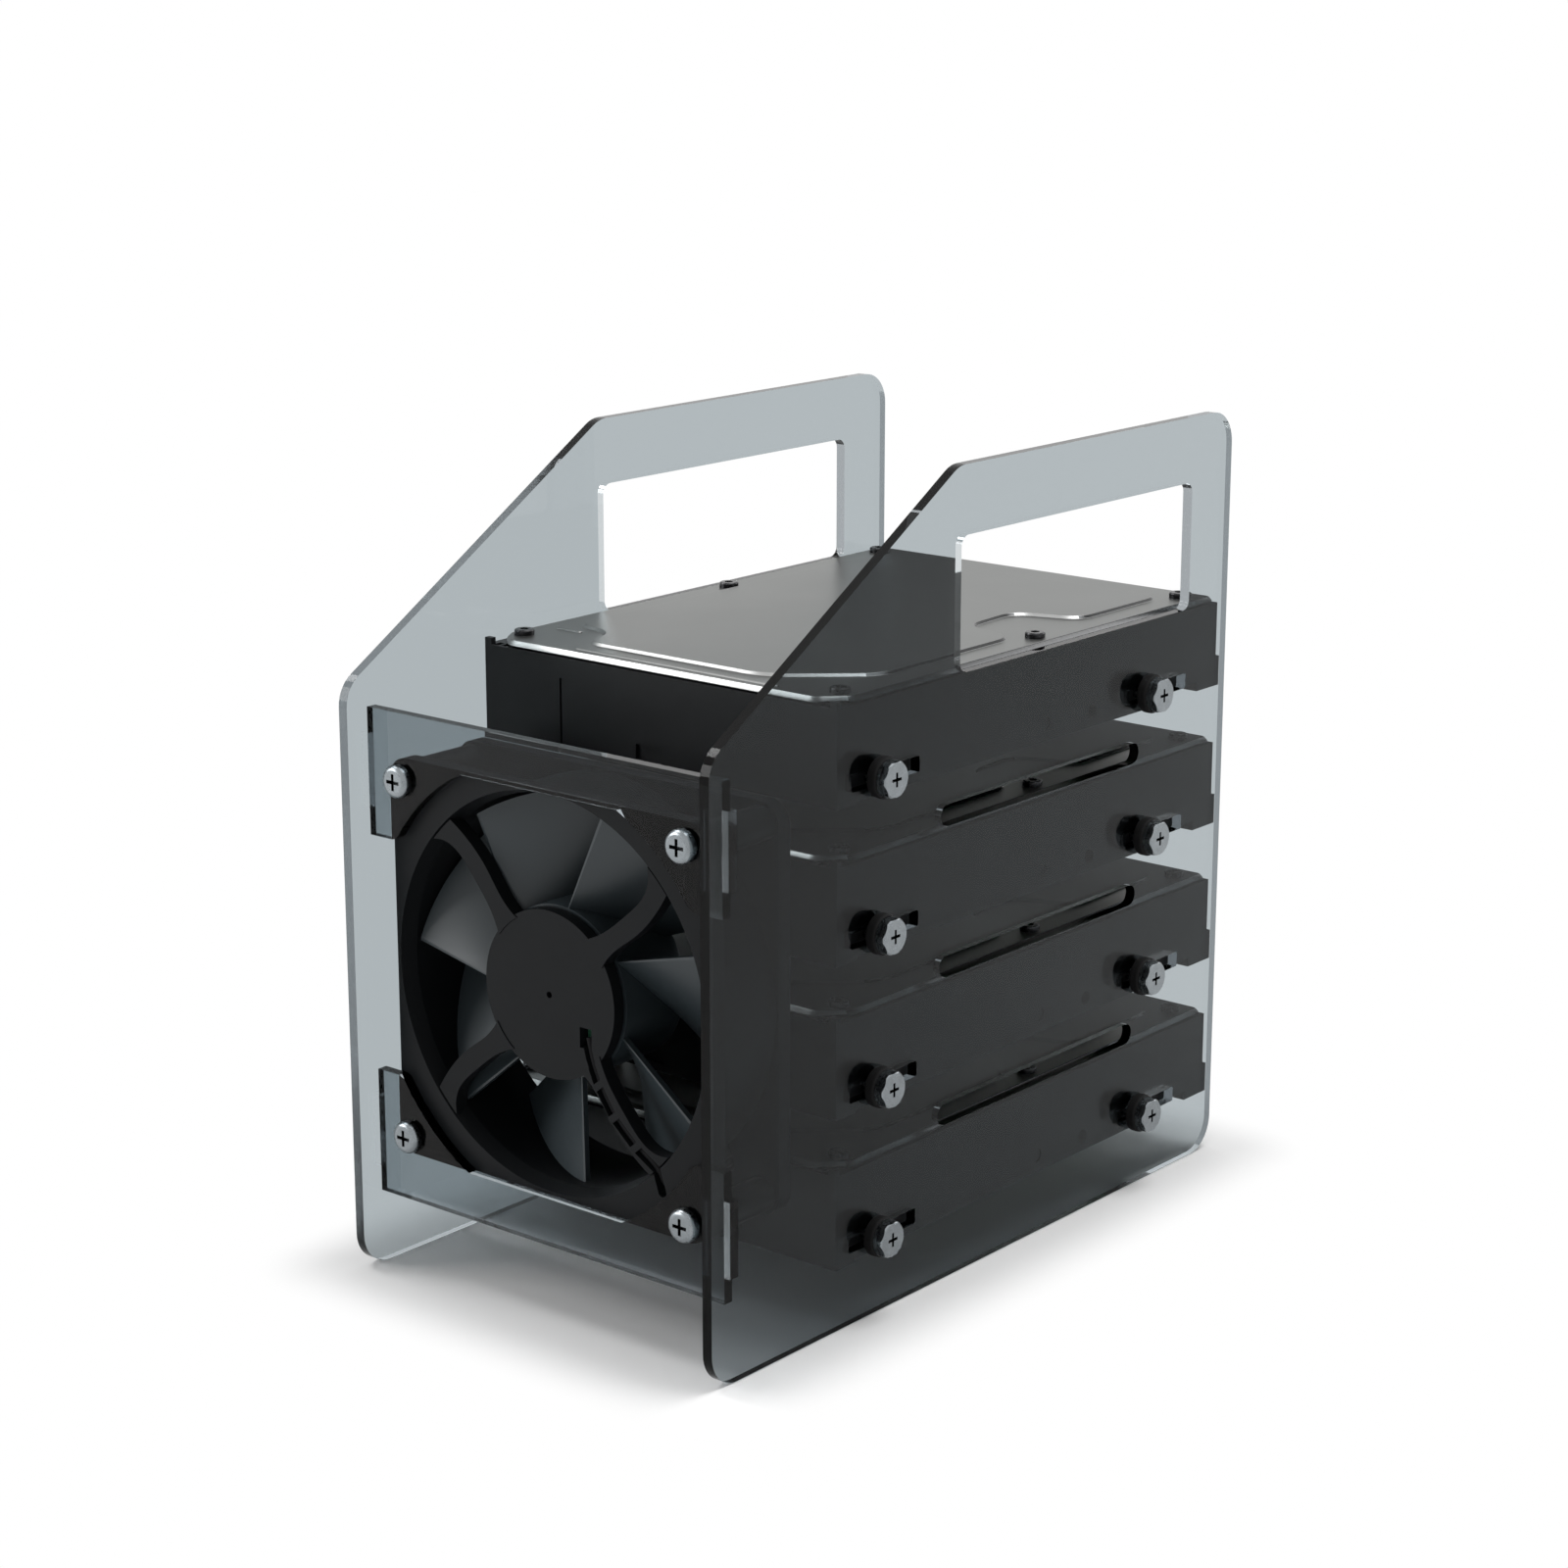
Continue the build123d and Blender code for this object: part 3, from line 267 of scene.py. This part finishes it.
class Finish(Network):
    """A material with one Principled shader and the nodes that feed it."""

    def __init__(self, name, color, roughness, metallic=0.0, **fixed):
        self.material = bpy.data.materials.new(name)
        self.material.use_nodes = True
        super().__init__(self.material.node_tree)
        self.skin = self.tree.nodes["Principled BSDF"]
        self.set(**{"Base Color": color, "Roughness": roughness, "Metallic": metallic})
        self.set(**{socket.replace("_", " "): value for socket, value in fixed.items()})

    def set(self, **values):
        """Feed the Principled shader's sockets by name."""
        for name, value in values.items():
            self.feed(self.skin.inputs[name], value)
        return self

    def place(self):
        """Where a point of the piece is, in metres."""
        return self.node("ShaderNodeTexCoord", output="Object")

    def noise(self, size, detail=SOFT_DETAIL):
        """Soft random patches of about a given size in metres, from 0 to 1."""
        inputs = {"Vector": self.place() * (1 / size), "Scale": 1.0, "Detail": detail}
        return self.node("ShaderNodeTexNoise", None, inputs)

    def mix(self, share, first, second):
        """A colour between two others: inputs 6 and 7 and output 2 are a Mix node's colours."""
        inputs = {0: share, 6: first, 7: second}
        return self.node("ShaderNodeMix", {"data_type": "RGBA"}, inputs, output=2)

    def relief(self, height, depth):
        """Turn a height from 0 to 1 into a bump of a depth in metres."""
        inputs = {"Height": height, "Distance": depth, "Strength": 1.0}
        return self.set(Normal=self.node("ShaderNodeBump", None, inputs))

    def paint_recess_shade(self, color, reach):
        """Paint shade into a colour where the surface is hidden in a recess or a corner."""
        settings, inputs = {"samples": OPEN_SKY_SAMPLES}, {"Distance": reach}
        open_sky = self.node("ShaderNodeAmbientOcclusion", settings, inputs, output=1)
        return self.set(**{"Base Color": self.mix(open_sky * open_sky, RECESS_SHADE_COLOR, color)})

    def shades(self, dark, light, size):
        """Let the colour drift between two shades in soft patches."""
        return self.set(**{"Base Color": self.mix(self.noise(size), dark, light)})

    def worn(self, low, high, size):
        """Let the roughness drift between two values in soft patches."""
        return self.set(Roughness=self.noise(size, FINE_DETAIL) * (high - low) + low)


# %% [markdown]
# ## Smoky acrylic
# Cast acrylic is a smoky grey that lets under half of the light through. The grey could be a
# volume inside the sheet, but that turned the edges and the hand windows' jambs far too dark.
# So the faces carry it: the base colour of a glass-like shader is the loss through both faces
# of a sheet. The outer edges look dark on the real cage, so they get a darker tint. The hand
# windows' jambs catch the light and look nearly white, and that is a painted highlight: their
# tint is cleared to white. Real acrylic has an index near 1.49. In a studio that is white all
# round it would mirror too much, so the index was lowered until the tones were right.

# %% Acrylic
SIDE_INDEX, FAN_PLATE_INDEX = 1.21, 1.24
SIDE_TINT = (0.43, 0.475, 0.495)
FAN_PLATE_TINT = (0.39, 0.435, 0.46)
# The jambs' plain white clears their tint, as a painted highlight.
EDGE_TINT, JAMB_PAINTED_HIGHLIGHT = (0.13, 0.15, 0.165), (1, 1, 1)
WINDOW_MIDDLE, WINDOW_HALF = (0.0333, 0.1546), (0.047, 0.0185)
EDGE_LIMIT = 0.5


def acrylic_sheet(name, tint, index):
    """A clear tinted sheet with the faint waves of its polish."""
    sheet = Finish(name, tint, 0.02, IOR=index, Transmission_Weight=1.0)
    return sheet.worn(0.0, 0.04, 0.004)


def tint_edges_paint_jamb_highlight(sheet, face_tint):
    """Darken a side plate's outer edges, and paint a highlight on the jambs of its window."""
    normal = sheet.node("ShaderNodeNewGeometry", output="Normal")
    edge = abs(normal.part(0)) < EDGE_LIMIT
    place = sheet.place()
    along = abs(place.part(1) - WINDOW_MIDDLE[0]) < WINDOW_HALF[0]
    up = abs(place.part(2) - WINDOW_MIDDLE[1]) < WINDOW_HALF[1]
    # Edges inside the window get the painted highlight, and the other edges the darker tint.
    edge_tint_and_jamb_highlight = sheet.mix(along * up, EDGE_TINT, JAMB_PAINTED_HIGHLIGHT)
    return sheet.set(**{"Base Color": sheet.mix(edge, face_tint, edge_tint_and_jamb_highlight)})


side_acrylic = tint_edges_paint_jamb_highlight(acrylic_sheet("side_acrylic", SIDE_TINT, SIDE_INDEX), SIDE_TINT)
fan_acrylic = acrylic_sheet("fan_plate_acrylic", FAN_PLATE_TINT, FAN_PLATE_INDEX)
print("finishes:", side_acrylic.material.name, fan_acrylic.material.name)

# %% [markdown]
# ## Black plastics and the coated castings
# The fan is moulded in black plastic with a fine spark-eroded grain. The drives' castings
# have a thin black coat over the cast skin, smoother in patches. The grain could be a bump,
# but it is finer than a pixel here, so it is a drift in roughness. The frame and the castings
# are nearly the same black and the blades a little lighter, and the strength of their sheen
# tells them apart.

# %% Moulded and coated blacks
moulded = Finish("moulded_black", (0.006, 0.0066, 0.0074), 0.38, Specular_IOR_Level=0.1)
moulded.shades((0.0045, 0.0052, 0.006), (0.0072, 0.008, 0.0088), 0.012)
moulded.worn(0.34, 0.42, 0.001)
blades = Finish("blade_black", (0.026, 0.03, 0.0325), 0.4, Specular_IOR_Level=0.45)
blades.shades((0.019, 0.0265, 0.0303), (0.024, 0.0315, 0.036), 0.02)
blades.worn(0.36, 0.44, 0.001)
coated = Finish("coated_casting", (0.008, 0.0085, 0.0092), 0.4, Specular_IOR_Level=0.22)
coated.shades((0.0062, 0.0067, 0.0074), (0.0098, 0.0103, 0.011), 0.01)
coated.worn(0.35, 0.45, 0.0012)
socket_black = Finish("socket_black", (0.02, 0.02, 0.02), 0.5)
socket_black.worn(0.4, 0.6, 0.003)
print("finishes: moulded, blades, coated, socket")

# %% [markdown]
# ## Metals
# The lids are bright stainless steel, rolled to a satin sheen. A streaked grain made them look
# brushed, so their roughness only drifts softly. Their pressed flanks that face sideways look
# dark on the real lids, as they mirror the inside of the cage, and that dark reflection is
# painted here: those faces get a darker copy of the steel. The screws' plating is uneven, so
# its colour and roughness drift, and shade is painted into it in the cross recesses.

# %% Metals
LID_GLANCE = (0.66, 0.665, 0.66)
lid_steel = Finish("lid_steel", (0.3, 0.303, 0.3), 0.16, metallic=1.0, Specular_Tint=LID_GLANCE)
lid_steel.shades((0.28, 0.283, 0.28), (0.32, 0.324, 0.32), 0.03)
lid_steel.worn(0.3, 0.36, 0.02)
# A darker copy of the lid steel: the painted dark reflection on the sideways flanks.
lid_flank_painted_reflection = Finish("lid_flank_painted_reflection", (0.05, 0.051, 0.052), 0.2, metallic=1.0)
lid_flank_painted_reflection.worn(0.15, 0.3, 0.001)
plated = Finish("plated_screw", (0.5, 0.51, 0.52), 0.28, metallic=1.0)
# The plating's colour drifts, and painted shade darkens it in the cross recesses.
plated.paint_recess_shade(plated.mix(plated.noise(0.002), (0.2, 0.22, 0.232), (0.28, 0.303, 0.318)), 0.0018)
plated.worn(0.2, 0.36, 0.001)
ground = Finish("ground_steel", (0.6, 0.6, 0.61), 0.3, metallic=1.0)
ground.worn(0.25, 0.4, 0.001)
dark_screw = Finish("dark_screw", (0.04, 0.04, 0.042), 0.35, metallic=1.0)
dark_screw.worn(0.2, 0.35, 0.001)
print("finishes: lid steel and flank, plated, ground, dark screw")

# %% [markdown]
# ## Rubber, boards, lead and plug
# The rings are soft black rubber with no shine. The boards are green under their varnish.
# The lead's sleeve is dull black, and its plug is uncoloured nylon. The rubber and the sleeve
# could be smooth, but their fine grain breaks up the light, so they get a shallow bump. The
# magnet, the motor's core and the gold of the contacts only drift in roughness.

# %% Rubber and small parts
rubber = Finish("black_rubber", (0.005, 0.005, 0.0052), 0.72, Specular_IOR_Level=0.15)
rubber.shades((0.0035, 0.0035, 0.0037), (0.0075, 0.0075, 0.0078), 0.002)
rubber.relief(rubber.noise(0.0003, FINE_DETAIL), 0.00003)
varnish = Finish("board_varnish", (0.02, 0.09, 0.05), 0.35)
varnish.shades((0.012, 0.07, 0.04), (0.03, 0.11, 0.06), 0.003)
sleeve = Finish("lead_sleeve", (0.004, 0.004, 0.0045), 0.45, Specular_IOR_Level=0.08)
sleeve.relief(sleeve.noise(0.0006), 0.00003)
nylon = Finish("plug_nylon", (0.75, 0.73, 0.66), 0.4)
nylon.shades((0.7, 0.68, 0.6), (0.8, 0.78, 0.72), 0.004)
ferrite = Finish("bonded_ferrite", (0.03, 0.03, 0.03), 0.6)
ferrite.worn(0.5, 0.7, 0.002)
cores = Finish("core_steel", (0.3, 0.29, 0.28), 0.4, metallic=1.0)
cores.worn(0.3, 0.5, 0.002)
gold = Finish("gold_plate", (0.75, 0.52, 0.2), 0.3, metallic=1.0)
gold.worn(0.22, 0.4, 0.0006)
print("finishes: rubber, varnish, sleeve, nylon, ferrite, cores, gold")

# %% [markdown]
# ## The pressed lids
# A drive's lid is thin steel, pressed so that its middle stands a little proud of the border.
# Its slopes are eased at the foot and the top, which draws bright lines under a lamp. The
# solid's slopes are straight and sharp, and a solid's mesh is never changed here. So each lid
# is drawn again as rings of points: one set rolls over the outer edge, another climbs the
# shoulder, and flat faces fill what lies between.

# %% Rings of points
LID_SEAT, LID_THICKNESS = 22.05, 1.25
LID_OUTLINE = (
    (-50.3, -45.5), (-44.3, -51.5), (44.3, -51.5), (50.3, -45.5), (50.3, 93.0), (-50.3, 93.0),
)
LID_FIELD = (
    (-28, -43.5), (24, -43.5), (43, -27), (43, 22), (28, 26), (27, 44), (43, 49), (43, 82),
    (-43, 82), (-43, -30), (-30, -33),
)
CORNER_STEPS = 7
FIELD_CORNER, OUTLINE_CORNER = 5.0, 2.0


def rounded(corners, reach):
    """A closed outline whose corners are eased by curves that start a given way before them."""
    points = []
    for before, here, after in zip(corners[-1:] + corners[:-1], corners, corners[1:] + corners[:1]):
        here, before, after = (Vector(corner) for corner in (here, before, after))
        start = here + (before - here).normalized() * reach
        end = here + (after - here).normalized() * reach
        for step in range(CORNER_STEPS):
            share = step / (CORNER_STEPS - 1)
            rest = 1 - share
            points.append(rest**2 * start + 2 * share * rest * here + share**2 * end)
    return points


def ring(form, outline, inset, height):
    """Points along an outline, moved inwards and lifted, in millimetres."""
    points = []
    for before, here, after in zip(outline[-1:] + outline[:-1], outline, outline[1:] + outline[:1]):
        along = (after - before).normalized()
        points.append(form.verts.new((here.x - inset * along.y, here.y + inset * along.x, height)))
    return points


def climb(form, outline, steps):
    """Join rings with smooth quads, from the outermost step to the innermost."""
    rings = [ring(form, outline, inset, height) for inset, height in steps]
    for outer, inner in zip(rings, rings[1:]):
        for number in range(len(outer)):
            beside = (number + 1) % len(outer)
            face = form.faces.new((outer[number], outer[beside], inner[beside], inner[number]))
            face.smooth = True
    return rings[0], rings[-1]


def ring_edges(form, points):
    """The edges of a ring that already carries faces."""
    return [form.edges.get((a, b)) for a, b in zip(points, points[1:] + points[:1])]


lid_rim, field_rim = rounded(LID_OUTLINE, OUTLINE_CORNER), rounded(LID_FIELD, FIELD_CORNER)
print("lid outlines:", len(lid_rim), "and", len(field_rim), "points")

# %% Lids
EDGE_PROFILE = ((0, 0), (0, 0.2), (0.04, 0.3), (0.12, 0.4), (0.8, 1.1), (0.92, 1.2), (1.1, 1.25))
SHOULDER_PROFILE = ((-0.3, 0), (-0.12, 0.03), (0, 0.09), (0.5, 0.61), (0.62, 0.67), (0.8, 0.7))
SIDEWAYS = 0.55
BEAD_RISE, BEAD_HALF, BEAD_SLOPE = 0.35, 0.85, 0.9
BEAD_PROFILE = [
    (BEAD_HALF * BEAD_SLOPE * share, BEAD_RISE * math.sin(math.pi / 2 * share))
    for share in (0, 0.3, 0.6, 1)
]
BEADS = ((-26.0, 32.0, -48.4), (-44.5, -36.5, -35.0))


def bead_outline(left, right, y):
    """A slot-shaped outline round a straight bead."""
    points = []
    for middle, start in ((right - BEAD_HALF, -90), (left + BEAD_HALF, 90)):
        for step in range(CORNER_STEPS):
            angle = math.radians(start + 180 * step / (CORNER_STEPS - 1))
            x = middle + BEAD_HALF * math.cos(angle)
            points.append(Vector((x, y + BEAD_HALF * math.sin(angle))))
    return points


def on_lid(profile):
    """A profile's steps, lifted onto the flat of the lid."""
    return [(inset, LID_THICKNESS + rise) for inset, rise in profile]


def lid_mesh():
    """One pressed lid, with its underside at height 0."""
    form = bmesh.new()
    foot, border = climb(form, lid_rim, EDGE_PROFILE)
    form.faces.new(foot[::-1])
    base, top = climb(form, field_rim, on_lid(SHOULDER_PROFILE))
    edges = ring_edges(form, border) + ring_edges(form, base)
    for bead in BEADS:
        rim, crest = climb(form, bead_outline(*bead), on_lid(BEAD_PROFILE))
        form.faces.new(crest)
        edges += ring_edges(form, rim)
    bmesh.ops.triangle_fill(form, use_beauty=True, edges=edges, normal=(0, 0, 1))
    bmesh.ops.triangle_fill(form, use_beauty=True, edges=ring_edges(form, top), normal=(0, 0, 1))
    bmesh.ops.scale(form, vec=(MM, MM, MM), verts=form.verts)
    bmesh.ops.recalc_face_normals(form, faces=form.faces)
    # Faces that turn sideways get the second material, a darker copy of the steel that paints the
    # reflection of the cage's dark inside.
    for face in form.faces:
        face.material_index = int(abs(face.normal.x) > SIDEWAYS)
    mesh = bpy.data.meshes.new("pressed_lid")
    form.to_mesh(mesh)
    form.free()
    mesh.materials.append(lid_steel.material)
    mesh.materials.append(lid_flank_painted_reflection.material)
    return mesh


LOWEST_BASE, DRIVE_PITCH = 12.9, 34.6


def base_height(number):
    """How high the underside of a drive is, in millimetres: drive 1 is the top one."""
    return LOWEST_BASE + (len(DRIVES) - number) * DRIVE_PITCH


pressed = lid_mesh()
for number in DRIVES:
    lid = bpy.data.objects.new(f"drive_{number}_pressed_lid", pressed)
    lid.location.z = MM * (base_height(number) + LID_SEAT)
    bpy.context.scene.collection.objects.link(lid)
    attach(lid, f"drive_{number}")
    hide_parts(f"drive_{number}_lid")
print("lid:", len(pressed.polygons), "faces")

# %% [markdown]
# ## Contacts in the sockets
# A drive's data socket has seven gold strips on its tongue and its power socket fifteen. They
# could be stripes in a finish, but thin plates are real shapes with sharp ends. They lie on
# the tongues, all in one mesh that every drive shares.

# %% Contacts
CONTACT_PITCH = 1.27
CONTACT_SIZE = (0.75, 4.2, 0.06)
CONTACT_ROWS = ((7, 6.5), (15, 27.0))
CONTACT_Y = 91.2
TONGUE_TOP = 1.0


def contact_mesh():
    """Rows of strips, with the tongue's top at height 0."""
    form = bmesh.new()
    for count, middle in CONTACT_ROWS:
        for number in range(count):
            strip = bmesh.ops.create_cube(form, size=1)["verts"]
            bmesh.ops.scale(form, vec=CONTACT_SIZE, verts=strip)
            across = middle + (number - (count - 1) / 2) * CONTACT_PITCH
            bmesh.ops.translate(form, vec=(across, CONTACT_Y, CONTACT_SIZE[2] / 2), verts=strip)
    bmesh.ops.scale(form, vec=(MM, MM, MM), verts=form.verts)
    mesh = bpy.data.meshes.new("socket_contacts")
    form.to_mesh(mesh)
    form.free()
    mesh.materials.append(gold.material)
    return mesh


strips = contact_mesh()
for number in DRIVES:
    contacts = bpy.data.objects.new(f"drive_{number}_contacts", strips)
    contacts.location.z = MM * (base_height(number) + TONGUE_TOP)
    bpy.context.scene.collection.objects.link(contacts)
    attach(contacts, f"drive_{number}")
print("contacts:", len(strips.polygons), "faces on each drive")

# %% [markdown]
# ## Dress the solids
# Each solid keeps its own mesh and only gets a finish. The finishes could be set piece by
# piece, but most are shared, so tables of names and finishes are shorter and easier to read.
# The solids that the lead and the lids stand for are hidden, and are dressed with the rest.

# %% Give each solid its finish
FIXED_FINISHES = {
    "left_side_plate": side_acrylic, "right_side_plate": side_acrylic,
    "upper_fan_plate": fan_acrylic, "lower_fan_plate": fan_acrylic,
    "fan_frame": moulded, "fan_rotor": blades, "fan_screws": plated,
    "fan_shaft": ground, "fan_bearings": ground, "fan_magnet": ferrite,
    "fan_stator": cores, "fan_motor_board": varnish,
    "fan_lead": sleeve, "fan_lead_coil": sleeve, "fan_lead_tail": sleeve, "fan_plug": nylon,
}
DRIVE_FINISHES = {
    "base": coated, "lid": lid_steel, "lid_screws": dark_screw, "board": varnish,
    "connector": socket_black, "hex_screws": plated, "rubber_rings": rubber,
}


def dress(name, finish):
    """Put one finish on one solid."""
    mesh = nodes[name].data
    mesh.materials.clear()
    mesh.materials.append(finish.material)


for name, finish in FIXED_FINISHES.items():
    dress(name, finish)
for number in DRIVES:
    for part, finish in DRIVE_FINISHES.items():
        dress(f"drive_{number}_{part}", finish)
lead.data.materials.append(sleeve.material)
print("dressed", len(FIXED_FINISHES) + len(DRIVES) * len(DRIVE_FINISHES), "solids")

# %% [markdown]
# ## Floor
# The picture's ground is plain white, and a soft shadow close to the cage shows that it
# stands on something. A floor lit to white would need more light on the cage. So it is a real
# pale floor under the cage, and from there on it turns plain white for the camera and for
# rays that come straight through the sheets. Mirrored rays see the real floor for longer,
# since that is what gives black pieces and lids their depth, and they see it white only well
# away from the cage.

# %% Floor
FLOOR_RADIUS, FLOOR_SIDES, FLOOR_DROP = 4.0, 96, 0.0002
FLOOR_COLOR = (0.9, 0.9, 0.9)
# Half the cage's width and length, and a height that no point of the floor reaches.
CAGE_HALF = (0.056, 0.095, 1.0)
WHITE_FROM, WHITE_AT = 0.0, 0.022
MIRRORED_FROM, MIRRORED_AT = 0.55, 1.0
# Bounces are whole numbers, so half of one parts none from the first.
NO_BOUNCE = 0.5


def fade(finish, distance, near, far):
    """0 up to a near distance, 1 from a far one, and smooth between."""
    limits = {"Value": distance, "From Min": near, "From Max": far}
    return finish.node("ShaderNodeMapRange", {"interpolation_type": "SMOOTHSTEP"}, limits)


def whiten(finish):
    """Mix plain white into a floor finish, away from the cage."""
    outside = (abs(finish.place()) - CAGE_HALF).larger(0)
    distance = finish.node("ShaderNodeVectorMath", {"operation": "LENGTH"}, {0: outside}, output=1)
    direct = finish.ray("Diffuse Depth") < NO_BOUNCE
    seen = finish.ray("Is Camera Ray") + finish.ray("Is Transmission Ray") * direct
    share = seen * fade(finish, distance, WHITE_FROM, WHITE_AT)
    mirrored = fade(finish, distance, MIRRORED_FROM, MIRRORED_AT)
    share = share + finish.ray("Is Glossy Ray") * mirrored
    white = finish.node("ShaderNodeEmission", None, {"Color": (1, 1, 1), "Strength": 1.0})
    inputs = {0: share, 1: Wire(finish, finish.skin.outputs[0]), 2: white}
    blend = finish.node("ShaderNodeMixShader", None, inputs)
    finish.feed(finish.tree.nodes["Material Output"].inputs["Surface"], blend)


def add_floor():
    """A large pale disc under the feet of the plates."""
    mesh = bpy.data.meshes.new("floor")
    form = bmesh.new()
    bmesh.ops.create_circle(form, cap_ends=True, radius=FLOOR_RADIUS, segments=FLOOR_SIDES)
    form.to_mesh(mesh)
    form.free()
    floor = bpy.data.objects.new("floor", mesh)
    bpy.context.scene.collection.objects.link(floor)
    floor.location.z = -FLOOR_DROP
    pale = Finish("pale_floor", FLOOR_COLOR, 0.8, Specular_IOR_Level=0.0)
    whiten(pale)
    mesh.materials.append(pale.material)
    return floor


print("floor at", tuple(add_floor().location))

# %% [markdown]
# ## World
# The world is the white all round. As a lamp at full strength it would wash out every black,
# so it is white only where it is looked at: straight, in one mirroring, or through up to three
# sheets. Everything else gets a weak share of it. Black pieces behind a sheet would still
# mirror the white and look grey, so a mirrored ray that has come through a sheet or by another
# bounce sees still less. Light Path's counts of bounces tell these rays apart: one sum gives
# each kind of bounce its own weight, and two limits are set on that sum.

# %% World
WORLD_LAMP, DEEP_MIRROR = 0.35, 0.12
MIRRORING_WEIGHT, SCATTER_WEIGHT = 4.0, 8.0
ONE_MIRRORING, THREE_SHEETS = 4.5, 6.5


def light_world():
    """White where it is seen straight, mirrored or through sheets, and weaker elsewhere."""
    world = bpy.data.worlds.new("studio")
    bpy.context.scene.world = world
    world.use_nodes = True
    sky = Network(world.node_tree)
    bounces = sky.ray("Transmission Depth") + sky.ray("Glossy Depth") * MIRRORING_WEIGHT
    bounces = bounces + sky.ray("Diffuse Depth") * SCATTER_WEIGHT
    mirrored = sky.ray("Is Glossy Ray") * (bounces < ONE_MIRRORING)
    through = sky.ray("Is Transmission Ray") * (bounces < THREE_SHEETS)
    seen = sky.ray("Is Camera Ray").larger(mirrored).larger(through)
    deep = sky.ray("Is Glossy Ray") * (bounces > ONE_MIRRORING)
    lamp = deep * (DEEP_MIRROR - WORLD_LAMP) + WORLD_LAMP
    background = sky.tree.nodes["Background"]
    sky.feed(background.inputs["Color"], (1, 1, 1))
    sky.feed(background.inputs["Strength"], seen.larger(lamp))


light_world()
print("world:", WORLD_LAMP, "as a lamp and", DEEP_MIRROR, "in deep mirrors")

# %% [markdown]
# ## Lamps
# The photograph's shading is soft and its highlights broad, as under a few wide soft boxes.
# Small lamps would draw hard spots in the sheets and the lids, so each lamp is a square about
# half a metre wide. The key stands at the front left, one lamp hangs above, one lifts the rear
# edges, and one high on the left puts the bright band on the top lid.

# %% Lamps
LAMPS = {
    "key_lamp": ((-0.9, -0.8, 0.5), 0.6, 8),
    "top_lamp": ((0.2, 0.2, 1.05), 0.55, 6),
    "back_lamp": ((0.4, 1.0, 0.6), 0.5, 3),
    "glint_lamp": ((-0.75, -0.25, 1.03), 0.4, 5),
}
LAMPS_AIM = Vector((0, 0, 0.09))


def add_lamp(name, place, size, watts):
    """A square soft lamp that faces the middle of the cage."""
    data = bpy.data.lights.new(name, "AREA")
    data.size, data.energy = size, watts
    lamp = bpy.data.objects.new(name, data)
    bpy.context.scene.collection.objects.link(lamp)
    lamp.location = place
    lamp.rotation_euler = (LAMPS_AIM - Vector(place)).to_track_quat("-Z", "Y").to_euler()


for name, (place, size, watts) in LAMPS.items():
    add_lamp(name, place, size, watts)
bpy.context.scene.view_settings.view_transform = "Standard"
print(len(LAMPS), "lamps set")

# %% Bring the scene up to date
bpy.context.view_layer.update()
